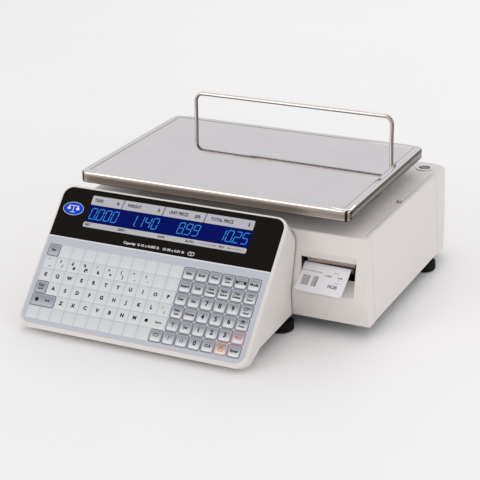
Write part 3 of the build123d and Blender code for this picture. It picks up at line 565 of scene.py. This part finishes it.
def lettering(
    sheaf, text, centre, height, n, slot=0, thick=0.04, bold=0.0, squeeze=1.0, width=None,
):
    """Raised lettering from the built-in face, its capitals the given height.

    It is narrowed by squeeze, or drawn to the given width."""
    curve = bpy.data.curves.new("letters", "FONT")
    curve.body = text
    curve.align_x = "CENTER"
    curve.align_y = "CENTER"
    curve.size = height / 0.72
    curve.offset = bold
    curve.extrude = thick / 2
    curve.resolution_u = 3
    holder = bpy.data.objects.new("letters", curve)
    mesh = bpy.data.meshes.new_from_object(holder)
    if width:
        across = [v.co.x for v in mesh.vertices]
        squeeze = width / (max(across) - min(across))
    points = [(centre[0] + v.co.x * squeeze, centre[1] + v.co.y, n + v.co.z) for v in mesh.vertices]
    sheaf.add(points, [tuple(p.vertices) for p in mesh.polygons], slot)
    bpy.data.objects.remove(holder)
    bpy.data.meshes.remove(mesh)
    bpy.data.curves.remove(curve)


# ------------------------------------------------------------------ keyboard
INK = printed("ink_dark", rgb(26, 28, 32), 0.55, shine=0.1)
THERMAL_INK = printed("thermal_ink", rgb(84, 78, 80), 0.6, shine=0.1)
INK_RED = printed("ink_magenta", rgb(203, 40, 92), 0.5)
INK_ORANGE = printed("ink_orange", rgb(219, 116, 42), 0.5)
INK_WHITE = printed("ink_white", rgb(232, 233, 236), 0.45)
INK_KEYLINE = printed("ink_keyline", rgb(84, 89, 98), 0.45)
KEY_WHITE = key_print("key_white_print", rgb(206, 214, 218), rgb(214, 220, 222), 0.35)
KEY_GREY = key_print("key_grey_print", rgb(150, 154, 162), rgb(226, 227, 229))
KEY_DARK = key_print("key_dark_print", rgb(146, 150, 160), rgb(176, 180, 188))
KEY_RIM = printed("key_rim_print", rgb(184, 188, 196), 0.4)

WHITE_ROWS = {
    1: [("'", "_"), ("?", "/"), ("$", "#"), ("%", "@"), ("*", "&"), ("+", "="), ("(", ")"),
        ('"', ","), ("!", "-")],
    2: ["€", "Q", "W", "E", "R", "T", "Y", "U", "I", "O", "P"],
    3: [None, "A", "S", "D", "F", "G", "H", "J", "K", "L", (":", ";")],
    4: [None, None, "Z", "X", "C", "V", "B", "N", "M"],
}
SPACE_BAR = (4, 9)            # row and column of its left half
GREY_WORDS = {
    0: ["Size", "Bold", "Font", "Date\nLine", "Label", "Mode"],
    1: ["Insert", "Exit", "Line\nDelete", "Back\nSpace", "Char\nDelete", "Zero"],
    2: ["Dev", "Esc", "7", "8", "9", "Feed"],
    3: ["New\nLine", "Home", "4", "5", "6", "Print"],
    4: ["T", "Set", "1", "2", "3", "PLU"],
    5: ["/", "( )", "0", "CLR", "Total", "Enter"],
}
WHITE_KEY_INK = 0.36          # heights of the legends above the overlay
FRAMED_KEY_INK = 0.80


def key_place(row, column, span=1):
    """Centre of a key; row 0 is the top row."""
    return ((column + span / 2) * KEY_U, (ROWS - 1 - row + 0.5) * KEY_V)


def grey_cells():
    """(row, column, span, words, kind) of the framed keys."""
    cells = [
        (0, 0, 1, "Esc", "dark"), (3, 0, 1, "Caps\nLock", "dark"),
        (4, 0, 2, "●  Shift", "dark"), (5, 10, 1, "↵", "grey"),
    ]
    for row, words in GREY_WORDS.items():
        for k, word in enumerate(words):
            kind = {(4, 5): "red", (5, 4): "orange"}.get((row, k), "grey")
            cells.append((row, 11 + k, 1, word, kind))
    return cells


def build_keyboard():
    whites, greys, inks = Sheaf(), Sheaf(), Sheaf()
    taken = {(r, c + i) for r, c, s, _, _ in grey_cells() for i in range(s)}
    taken.add((SPACE_BAR[0], SPACE_BAR[1] + 1))
    for row in range(ROWS):
        for column in range(COLUMNS):
            if (row, column) in taken:
                continue
            span = 2 if (row, column) == SPACE_BAR else 1
            size = (KEY_U * span - 0.9, KEY_V - 0.9)
            levels = ((0, 0.0), (0, 0.10), (0.25, 0.26), (0.8, 0.34))
            pad(whites, key_place(row, column, span), size, 1.0, levels)
    for row, legends in WHITE_ROWS.items():
        for column, legend in enumerate(legends):
            if legend is None:
                continue
            u, v = key_place(row, column)
            if isinstance(legend, tuple):
                lettering(inks, legend[0], (u - 1.9, v + 2.6), 3.6, WHITE_KEY_INK, bold=0.26)
                lettering(inks, legend[1], (u + 1.3, v - 2.6), 3.6, WHITE_KEY_INK, bold=0.26)
            else:
                lettering(inks, legend, (u, v), 4.2, WHITE_KEY_INK, bold=0.34)
    u, v = key_place(*SPACE_BAR, 2)
    disc(inks, (u - 9, v), 2.1, (0.33, 0.38))
    lettering(inks, "Space", (u + 6, v), 2.5, WHITE_KEY_INK, bold=0.1)

    for row, column, span, words, kind in grey_cells():
        u, v = key_place(row, column, span)
        line = {"red": 2, "orange": 3}.get(kind, 1)
        size = (KEY_U * span - 0.5, KEY_V - 0.5)
        pad(greys, (u, v), size, 2.3, ((0, 0.0), (0, 0.12), (0.15, 0.16)), line)
        inner = (size[0] - 1.7, size[1] - 1.7)
        pad(greys, (u, v), inner, 1.6, ((0, 0.1), (0, 0.20), (0.15, 0.24)), 0)
        face = (size[0] - 3.3, size[1] - 3.3)
        dome = ((0, 0.2), (0.1, 0.32), (0.7, 0.50), (1.8, 0.66), (3.2, 0.74), (4.6, 0.78))
        pad(greys, (u, v), face, 2.2, dome, 5 if kind == "dark" else 4)
        key_words(inks, words, (u, v), kind)
    settle(whites.piece("keys_white", [KEY_WHITE], FACE, True, True, 40), "base", "keypad_print")
    rims = [KEY_RIM, INK_KEYLINE, INK_RED, INK_ORANGE, KEY_GREY, KEY_DARK]
    settle(greys.piece("keys_grey", rims, FACE, True, True, 40), "base", "keypad_print")
    legends = inks.piece("key_legends", [INK, INK_RED, INK_ORANGE, INK_WHITE], FACE)
    settle(legends, "base", "keypad_print")


def key_words(inks, words, centre, kind):
    """The legend on a framed key, in one or two lines, or a small symbol."""
    u, v = centre
    top = FRAMED_KEY_INK
    raised = (0.4, top)
    slot = {"red": 1, "orange": 2}.get(kind, 0)
    if words == "Label":
        slab(inks, rect(u - 6.2, v - 1.7, 12.4, 3.4), (0.4, top + 0.03))
        lettering(inks, words, (u, v), 2.3, top + 0.04, 3, bold=0.06)
    elif words == "Total":
        # a hand holding a coin tray, drawn as plain bars
        slab(inks, [(u - 3.4, v + 0.4), (u + 3.4, v + 0.4), (u, v + 3.6)], raised, slot)
        band(inks, (u, v - 1.6), (6.0, 3.4), 1.2, 0.8, raised, slot)
    elif words in ("Zero", "Feed", "Print"):
        lettering(inks, words, (u, v - 2.6), 2.6, top, slot, bold=0.12)
        if words == "Zero":
            band(inks, (u, v + 2.2), (5.4, 3.0), 1.4, 0.6, raised, slot)
        elif words == "Feed":
            band(inks, (u - 0.6, v + 2.2), (4.4, 3.6), 0.9, 0.6, raised, slot)
            slab(inks, rect(u + 1.4, v + 2.6, 2.8, 0.8), raised, slot)
        else:
            band(inks, (u, v + 2.2), (4.8, 2.6), 0.5, 0.7, raised, slot)
            slab(inks, rect(u - 1.6, v + 3.4, 3.2, 1.2), raised, slot)
    elif words == "↵":
        band(inks, (u, v + 1.0), (6.4, 3.6), 1.6, 0.7, raised, slot)
    elif words.startswith("●"):
        disc(inks, (u - 8, v), 2.4, raised)
        lettering(inks, words[3:], (u + 6, v), 2.7, top, bold=0.08)
    elif "\n" in words:
        upper, lower = words.split("\n")
        lettering(inks, upper, (u, v + 2.0), 2.7, top, slot, bold=0.13, squeeze=0.95)
        lettering(inks, lower, (u, v - 2.0), 2.7, top, slot, bold=0.13, squeeze=0.95)
    elif words in "0123456789":
        lettering(inks, words, (u, v), 5.4, top, slot, bold=0.26)
    else:
        height = 3.1 if len(words) > 2 else 4.6
        lettering(inks, words, (u, v), height, top, slot, bold=0.17)


# ------------------------------------------------------------------ display
BAR_SILVER = printed("legend_silver", rgb(188, 188, 196), 0.45, shine=0.2)
BADGE_BLUE = printed("badge_blue", rgb(14, 72, 218), 0.5, shine=0.05)
SEGMENT = glowing("lcd_segment", rgb(66, 164, 246), 1.0)
SEGMENTS = {
    "0": "abcdef", "1": "bc", "2": "abged", "3": "abgcd", "4": "fgbc", "5": "afgcd",
    "6": "afgedc", "7": "abc", "8": "abcdefg", "9": "abcdfg",
}
DIGIT_HEIGHT, DIGIT_WIDTH, DIGIT_PITCH = 13.4, 6.6, 9.6
DIGIT_LEAN = 0.16
READINGS = [("0.000", 73.5), ("1.140", 126.5), ("8.99", 179.0), ("10.25", 240.0)]
LCD_N = -0.35                 # the lit field lies this far below the panel's face
PANEL_INK = 0.07
UPPER_BAR_V, LOWER_BAR_V = 153.7, 122.7
UPPER_SPLITS = (75.6, 128.9, 181.8)
UPPER_CAPTIONS = [
    ("TARE", 43.5), ("lb", 69.0), ("WEIGHT", 90.5), ("lb", 122.6), ("UNIT PRICE", 147.8),
    ("$/lb", 172.2), ("TOTAL PRICE", 203.0), ("$", 236.6),
]
LOWER_CAPTIONS = [("NET", 38.8), ("ZERO", 83.7), ("SAVE", 135.6), ("AUTO", 171.8), ("PLU", 211.9)]


def segment(sheaf, start, end, n, origin):
    """One bar of a digit, with pointed ends, leaned over."""
    width = 0.84
    (x0, y0), (x1, y1) = start, end
    length = sqrt((x1 - x0) ** 2 + (y1 - y0) ** 2)
    ax, ay = (x1 - x0) / length, (y1 - y0) / length
    px, py = -ay * width / 2, ax * width / 2
    gap, tip = 0.28, 0.28 + width / 2
    shape = [
        (x0 + ax * gap, y0 + ay * gap), (x0 + ax * tip - px, y0 + ay * tip - py),
        (x1 - ax * tip - px, y1 - ay * tip - py), (x1 - ax * gap, y1 - ay * gap),
        (x1 - ax * tip + px, y1 - ay * tip + py), (x0 + ax * tip + px, y0 + ay * tip + py),
    ]
    leaned = [(origin[0] + x + DIGIT_LEAN * y, origin[1] + y) for x, y in shape]
    slab(sheaf, leaned, n)


def digit(sheaf, figure, origin, n):
    w, h = DIGIT_WIDTH, DIGIT_HEIGHT
    bars = {
        "a": ((0, h), (w, h)), "b": ((w, h / 2), (w, h)), "c": ((w, 0), (w, h / 2)),
        "d": ((0, 0), (w, 0)), "e": ((0, 0), (0, h / 2)), "f": ((0, h / 2), (0, h)),
        "g": ((0, h / 2), (w, h / 2)),
    }
    for name in SEGMENTS[figure]:
        segment(sheaf, *bars[name], n, origin)


def build_display():
    field, digits, print_ = Sheaf(), Sheaf(), Sheaf()
    middle = (sum(WINDOW_U) / 2, sum(WINDOW_V) / 2)
    size = (WINDOW_U[1] - WINDOW_U[0] - 0.04, WINDOW_V[1] - WINDOW_V[0] - 0.04)
    pad(field, middle, size, 0.3, ((0, -1.7), (0, LCD_N)))
    n = (LCD_N, LCD_N + 0.06)
    low = WINDOW_V[0] + 3.9
    for text, right in READINGS:
        u = right - DIGIT_WIDTH - 1.2
        for character in reversed(text):
            if character == ".":
                spot = u + DIGIT_PITCH - 1.7
                slab(digits, rect(spot, low - 0.6, 1.2, 1.2), n)
                continue
            digit(digits, character, (u, low), n)
            u -= DIGIT_PITCH

    caption_bars(print_, middle[0])
    capacity_line(print_)
    border_line(print_)
    badge(print_)
    lit = field.piece("lcd_field", [MATERIALS["lcd_blue"]], FACE)
    settle(lit, "base", "lcd_blue", "display_window")
    settle(digits.piece("lcd_digits", [SEGMENT], FACE), "base", "lcd_blue")
    inks = [BAR_SILVER, MATERIALS["panel_black"], INK, INK_WHITE, BADGE_BLUE]
    settle(print_.piece("display_print", inks, FACE), "base", "panel_black")


def caption_bars(print_, middle):
    """The silver bars above and below the window, with the captions on them."""
    bar = ((0, -0.02), (0, 0.05))
    v = UPPER_BAR_V
    pad(print_, (middle, v), (208.5, 11.6), 1.3, bar, 0)
    for u in UPPER_SPLITS:
        lean = [(u - 1.2, v - 6), (u - 0.3, v - 6), (u + 1.2, v + 6), (u + 0.3, v + 6)]
        slab(print_, lean, (0.0, 0.09), 1)
    for word, u in UPPER_CAPTIONS:
        lettering(print_, word, (u, v), 4.0, PANEL_INK, 2, bold=0.15, squeeze=0.84)
    v = LOWER_BAR_V
    pad(print_, (middle - 0.6, v), (209.5, 6.4), 2.0, bar, 0)
    for word, u in LOWER_CAPTIONS:
        lettering(print_, word, (u, v), 2.7, PANEL_INK, 2, bold=0.12)
    for start, end, tip in ((186, 205, 1), (219, 238, -1)):
        slab(print_, rect(start, v - 0.2, end - start, 0.4), (0.0, PANEL_INK), 2)
        point = end if tip > 0 else start
        arrow = [(point, v), (point - tip * 2, v + 0.9), (point - tip * 2, v - 0.9)]
        slab(print_, arrow if tip > 0 else arrow[::-1], (0.0, PANEL_INK), 2)


def capacity_line(print_):
    """The capacity wording under the window, and the small mark after it."""
    text = "Capacity  0-15 x 0.005 lb   15-30 x 0.01 lb"
    lettering(print_, text, (130.7, 108.7), 3.0, PANEL_INK, 3, bold=0.08, width=78)
    band(print_, (178.5, 108.6), (8.5, 4.6), 2.2, 0.6, (0.0, PANEL_INK), 3)
    lettering(print_, "III", (178.5, 108.6), 2.4, PANEL_INK, 3)


def border_line(print_):
    """White line where the black panel meets the keys."""
    slab(print_, rect(-5.3, PANEL_LOW_V - 0.2, 283.2, 1.3), (-0.02, 0.05), 3)


def badge(print_):
    """A plain oval badge with a pair of scale pans."""
    u, v = 13.8, 139.5
    oval(print_, (u, v), (13.6, 8.3), (-0.02, 0.10), 3)
    oval(print_, (u, v), (13.1, 7.8), (0.0, 0.16), 4)
    ink = (0.1, 0.22)
    slab(print_, rect(u - 0.4, v - 4.0, 0.8, 8.2), ink, 3)
    slab(print_, rect(u - 3.0, v - 4.8, 6.0, 0.9), ink, 3)
    slab(print_, rect(u - 6.6, v + 3.2, 13.2, 0.8), ink, 3)
    for side in (-1, 1):
        x = u + side * 5.8
        slab(print_, [(x - 2.2, v), (x + 2.2, v), (x + 0.2, v + 3.4), (x - 0.2, v + 3.4)], ink, 3)
        slab(print_, [(x - 1.5, v - 1.5), (x + 1.5, v - 1.5), (x + 2.6, v), (x - 2.6, v)], ink, 3)


# ------------------------------------------------------------------ platter and rail
# steel with painted reflections for the platter's skirt
SKIRT_PAINTED_REFLECTION_STEEL = skirt_painted_reflection("skirt_steel_painted_reflection")
# the pressed line's dark look is a painted reflection, given as a darker steel
PRESS_LINE_PAINTED_REFLECTION = metal("pressed_line_painted_reflection", (0.26, 0.22, 0.20, 1), 0.12, vary=0.04)
PRESS_DEPTH = 0.9             # the middle of the pan is pressed this far down
EDGE_ROLL = 3.2               # radius of its rolled edge
RAIL_BEND = 0.010             # metres


def platter_ring(centre, half, radius, z, dip, corner_points=9):
    """A closed ring round the pan. Near its corners it is pressed down by dip."""
    points = []
    run = 14.0
    for quarter, (sx, sy) in enumerate(((1, 1), (-1, 1), (-1, -1), (1, -1))):
        cx, cy = sx * (half[0] - radius), sy * (half[1] - radius)
        before, after = quarter * pi / 2, (quarter + 1) * pi / 2
        for step in (1.0, 0.66, 0.33):
            angle = before
            x = cx + radius * cos(angle) + sin(angle) * run * step
            y = cy + radius * sin(angle) - cos(angle) * run * step
            fall = 0.5 + 0.5 * cos(pi * step)
            points.append((x, y, z - dip * fall))
        for k in range(corner_points):
            angle = before + (pi / 2) * k / (corner_points - 1)
            points.append((cx + radius * cos(angle), cy + radius * sin(angle), z - dip))
        for step in (0.33, 0.66, 1.0):
            angle = after
            x = cx + radius * cos(angle) - sin(angle) * run * step
            y = cy + radius * sin(angle) + cos(angle) * run * step
            fall = 0.5 + 0.5 * cos(pi * step)
            points.append((x, y, z - dip * fall))
    return [(centre.x + x * MM, centre.y + y * MM, pz * MM) for x, y, pz in points]


def build_platter():
    low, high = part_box("platter")
    centre = (low + high) / 2
    half = ((high.x - low.x) / 2 / MM, (high.y - low.y) / 2 / MM)
    top, foot = high.z / MM, low.z / MM
    bed = top - PRESS_DEPTH
    # (inset from the edge, height, dip at the corners): over the top, down the skirt, back inside
    profile = [
        (11.0, bed, 0.0), (10.2, bed + 0.02, 0.0), (9.7, bed + 0.22, 0.05), (9.2, bed + 0.30, 0.1),
        (8.4, bed + 0.34, 0.2), (5.0, top - 0.16, 0.5), (3.4, top - 0.02, 0.7),
    ]
    roll = EDGE_ROLL
    for k in range(1, 8):
        angle = (pi / 2) * k / 7
        inset = roll * (1 - sin(angle))
        profile.append((inset, top - roll * (1 - cos(angle)) - 0.02, 0.7 * (1 - k / 7)))
    profile += [
        (0.0, top - 5.0, 0.0), (0.0, foot + 1.0, 0.0), (0.25, foot + 0.2, 0.0), (0.7, foot, 0.0),
        (1.15, foot + 0.3, 0.0), (1.2, foot + 1.2, 0.0), (1.2, top - 4.0, 0.0),
        (3.0, top - 2.2, 0.4), (8.0, top - 1.9, 0.2), (10.5, bed - 1.2, 0.0), (11.0, bed - 1.2, 0.0),
    ]
    points, faces, slots = [], [], []
    for inset, z, dip in profile:
        radius = max(1.0, 9.0 - inset) if inset < 8.5 else 1.6
        points += platter_ring(centre, (half[0] - inset, half[1] - inset), radius, z, dip)
    count = len(points) // len(profile)
    for ring in range(len(profile) - 1):
        faces += [face[::-1] for face in bridge(count, ring)]
        # slot 1 carries the skirt's painted reflection, slot 2 the pressed line's painted dark
        # reflection
        slots += [1 if 9 <= ring <= 17 else 2 if ring in (1, 2) else 0] * count
    last = (len(profile) - 1) * count
    faces += [tuple(range(count)), tuple(last + i for i in range(count))[::-1]]
    slots += [0, 0]
    sheaf = Sheaf()
    sheaf.add(points, faces, slots)
    finishes = [MATERIALS["stainless_polished"], SKIRT_PAINTED_REFLECTION_STEEL, PRESS_LINE_PAINTED_REFLECTION]
    pan = sheaf.piece("platter_pan", finishes, None, True, angle=28)
    settle(pan, "platter", "stainless_polished", "platter")


def build_rail():
    low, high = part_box("guard_rail")
    wire = (high.y - low.y) / 2
    y = (low.y + high.y) / 2
    left, right = low.x + wire, high.x - wire
    top, foot = high.z - wire, low.z
    bend = RAIL_BEND
    path = [Vector((left, y, foot + (top - bend - foot) * k / 6)) for k in range(7)]
    steps = 10
    for k in range(1, steps + 1):
        angle = (pi / 2) * k / steps
        path.append(Vector((left + bend * (1 - cos(angle)), y, top - bend * (1 - sin(angle)))))
    straight = right - left - 2 * bend
    path += [Vector((left + bend + straight * k / 12, y, top)) for k in range(1, 12)]
    for k in range(steps + 1):
        angle = (pi / 2) * k / steps
        path.append(Vector((right - bend * (1 - sin(angle)), y, top - bend * (1 - cos(angle)))))
    path += [Vector((right, y, top - bend - (top - bend - foot) * k / 6)) for k in range(1, 7)]
    sheaf, sides = Sheaf(), 24
    points = []
    across = Vector((0, 1, 0))
    for i, spot in enumerate(path):
        ahead = path[min(i + 1, len(path) - 1)] - path[max(i - 1, 0)]
        other = ahead.normalized().cross(across)
        for k in range(sides):
            angle = 2 * pi * k / sides
            points.append(spot + (across * cos(angle) + other * sin(angle)) * wire)
    faces = []
    for ring in range(len(path) - 1):
        faces += bridge(sides, ring)
    end = (len(path) - 1) * sides
    faces += [tuple(range(sides))[::-1], tuple(end + i for i in range(sides))]
    sheaf.add(points, faces)
    rail = sheaf.piece("rail_wire", [MATERIALS["chrome_wire"]], None, True, angle=60)
    settle(rail, "platter", "chrome_wire", "guard_rail")


# ------------------------------------------------------------------ label in its pocket
LABEL_WIDTH, LABEL_SKEW = 58.0, radians(3.4)
LABEL_EXIT = (134.5, -64.0)
LABEL_PATH = [
    (-64.0, 78.3), (-66.3, 77.1), (-69.0, 74.2), (-72.1, 71.2), (-77.8, 66.8), (-84.5, 61.4),
    (-93.2, 55.0),
]
# (text, place across, place along, height, boldness)
LABEL_WORDS = [
    ("NET WT   UNIT PRICE   PACKED", -16.5, 10.6, 1.3, 0.02), ("KEEP COOL", 14.0, 8.4, 1.0, 0.0),
    ("1.140 lb", 4.8, 13.6, 1.9, 0.10), ("8.99", 19.6, 13.8, 2.2, 0.08),
    ("$/lb", 19.0, 17.2, 1.1, 0.0), ("TOTAL  $", 18.6, 20.8, 1.3, 0.02),
    ("10.25", 14.2, 26.2, 4.0, 0.22),
]
BAR_CODES = [(-24.4, -14.8, 1.05), (-11.4, -4.8, 1.3)]      # (left, right, usual pitch)
LABEL_LENGTH = sum(
    sqrt((b[0] - a[0]) ** 2 + (b[1] - a[1]) ** 2) for a, b in zip(LABEL_PATH, LABEL_PATH[1:])
)


def along_label(where):
    """The place (y, z) this far along the label's path."""
    where = min(max(where, 0.0), LABEL_LENGTH - 0.001)
    for (y0, z0), (y1, z1) in zip(LABEL_PATH, LABEL_PATH[1:]):
        length = sqrt((y1 - y0) ** 2 + (z1 - z0) ** 2)
        if where <= length:
            return y0 + (y1 - y0) * where / length, z0 + (z1 - z0) * where / length
        where -= length
    return LABEL_PATH[-1]


def on_label(u, s, n):
    """Point u across the label, s along it from the exit, n above its face.

    The path's bends are smoothed."""
    reach = max(0.01, min(1.6, s, LABEL_LENGTH - s))
    near = [along_label(s + reach * k / 3) for k in range(-3, 4)]
    y, z = (sum(p[i] for p in near) / 7 for i in (0, 1))
    before, after = along_label(s - 1.2), along_label(s + 1.2)
    length = sqrt((after[0] - before[0]) ** 2 + (after[1] - before[1]) ** 2)
    y += n * (after[1] - before[1]) / length
    z += n * (before[0] - after[0]) / length
    dy = y - LABEL_EXIT[1]
    return (LABEL_EXIT[0] + u * cos(LABEL_SKEW) + dy * sin(LABEL_SKEW),
            LABEL_EXIT[1] - u * sin(LABEL_SKEW) + dy * cos(LABEL_SKEW), z)


def build_label():
    sheaf = Sheaf()
    rows, columns, corner = 40, 8, 3.0
    top, low = [], []
    for i in range(rows + 1):
        s = LABEL_LENGTH * i / rows
        over = max(0.0, s - (LABEL_LENGTH - corner))
        half = LABEL_WIDTH / 2 - corner + sqrt(max(0.0, corner**2 - over**2))
        for k in range(columns + 1):
            u = -half + 2 * half * k / columns
            top.append(on_label(u, s, 0.0))
            low.append(on_label(u, s, -0.22))
    width, count = columns + 1, len(top)
    faces = []
    for i in range(rows):
        for k in range(columns):
            a = i * width + k
            faces.append((a, a + width, a + width + 1, a + 1))
            faces.append((count + a, count + a + 1, count + a + width + 1, count + a + width))
    edge = list(range(columns)) + [i * width + columns for i in range(rows)]
    edge += [rows * width + k for k in range(columns, 0, -1)]
    edge += [i * width for i in range(rows, 0, -1)]
    for a, b in zip(edge, edge[1:] + edge[:1]):
        faces.append((a, b, count + b, count + a))
    sheaf.add(top + low, faces)

    print_ = Sheaf()
    for text, u, s, height, bold in LABEL_WORDS:
        lettering(print_, text, (u, -s), height, 0.0, bold=bold, thick=0.02)
    for start, end, step in BAR_CODES:
        u, k = start, 0
        while u < end:
            bar = (0.34, 0.62, 0.42, 0.70)[k % 4] * (1.0 if start < -20 else 1.35)
            for part in range(6):
                slab(print_, rect(u, -29.6 + 2.2 * part, bar, 2.2), (-0.01, 0.01))
            u, k = u + step * (1.0, 1.25, 0.85)[k % 3], k + 1
    print_.points = [on_label(u, -v, 0.03 + n) for u, v, n in print_.points]
    scale = Matrix.Scale(MM, 4)
    sheet = sheaf.piece("label_sheet", [MATERIALS["label_paper"]], scale, True)
    settle(sheet, "base", "label_paper", "label")
    settle(print_.piece("label_print", [THERMAL_INK], scale), "base", "label_paper")


# ------------------------------------------------------------------ stage, lights and camera
def build_stage():
    sheaf = Sheaf()
    pad(sheaf, (0, 0), (16, 16), 1.0, ((0, -0.02), (0, 0.0)))
    m = Nodes("floor")
    m.link(m.mix(m.noise(3.0), rgb(249, 249, 250), rgb(254, 254, 254)), "Base Color")
    m.shader.inputs["Roughness"].default_value = 0.6
    floor = sheaf.piece("floor", [m.material])


def area_light(name, place, target, size, power):
    light = bpy.data.lights.new(name, "AREA")
    light.shape = "RECTANGLE"
    light.size, light.size_y = size
    light.energy = power
    holder = bpy.data.objects.new(name, light)
    bpy.context.scene.collection.objects.link(holder)
    holder.location = place
    holder.rotation_euler = (Vector(target) - Vector(place)).to_track_quat("-Z", "Y").to_euler()


def build_lights():
    world = bpy.data.worlds.new("studio")
    world.use_nodes = True
    sky = world.node_tree.nodes["Background"]
    sky.inputs["Color"].default_value = (1.0, 0.985, 0.98, 1)
    sky.inputs["Strength"].default_value = 0.76
    bpy.context.scene.world = world
    area_light("key_light", (-1.5, -2.6, 1.5), (0, 0, 0.08), (1.6, 1.2), 14)
    area_light("fill_light", (2.5, -1.0, 1.0), (0, 0, 0.08), (1.6, 1.4), 7)
    area_light("back_light", (0.2, 2.4, 2.2), (0, 0, 0.1), (2.4, 1.0), 13)
    bpy.context.scene.view_settings.view_transform = "Standard"


CAMERA_PLACE = (0.7066, -1.4932, 0.7219)
CAMERA_RIGHT = Vector((0.90429, 0.42677, -0.01073))
CAMERA_UP = Vector((-0.14888, 0.33883, 0.92898))
CAMERA_LENS = 110.8


def build_camera():
    camera = bpy.data.cameras.new("camera")
    camera.lens = CAMERA_LENS
    camera.sensor_width = 36.0
    holder = bpy.data.objects.new("camera", camera)
    bpy.context.scene.collection.objects.link(holder)
    back = CAMERA_RIGHT.cross(CAMERA_UP)
    turn = Matrix((CAMERA_RIGHT, CAMERA_UP, back)).transposed()
    holder.matrix_world = Matrix.Translation(CAMERA_PLACE) @ turn.to_4x4()
    bpy.context.scene.camera = holder


build_camera()
build_stage()
build_lights()
dress_cad_nodes()
build_keyboard()
build_display()
build_platter()
build_rail()
build_label()
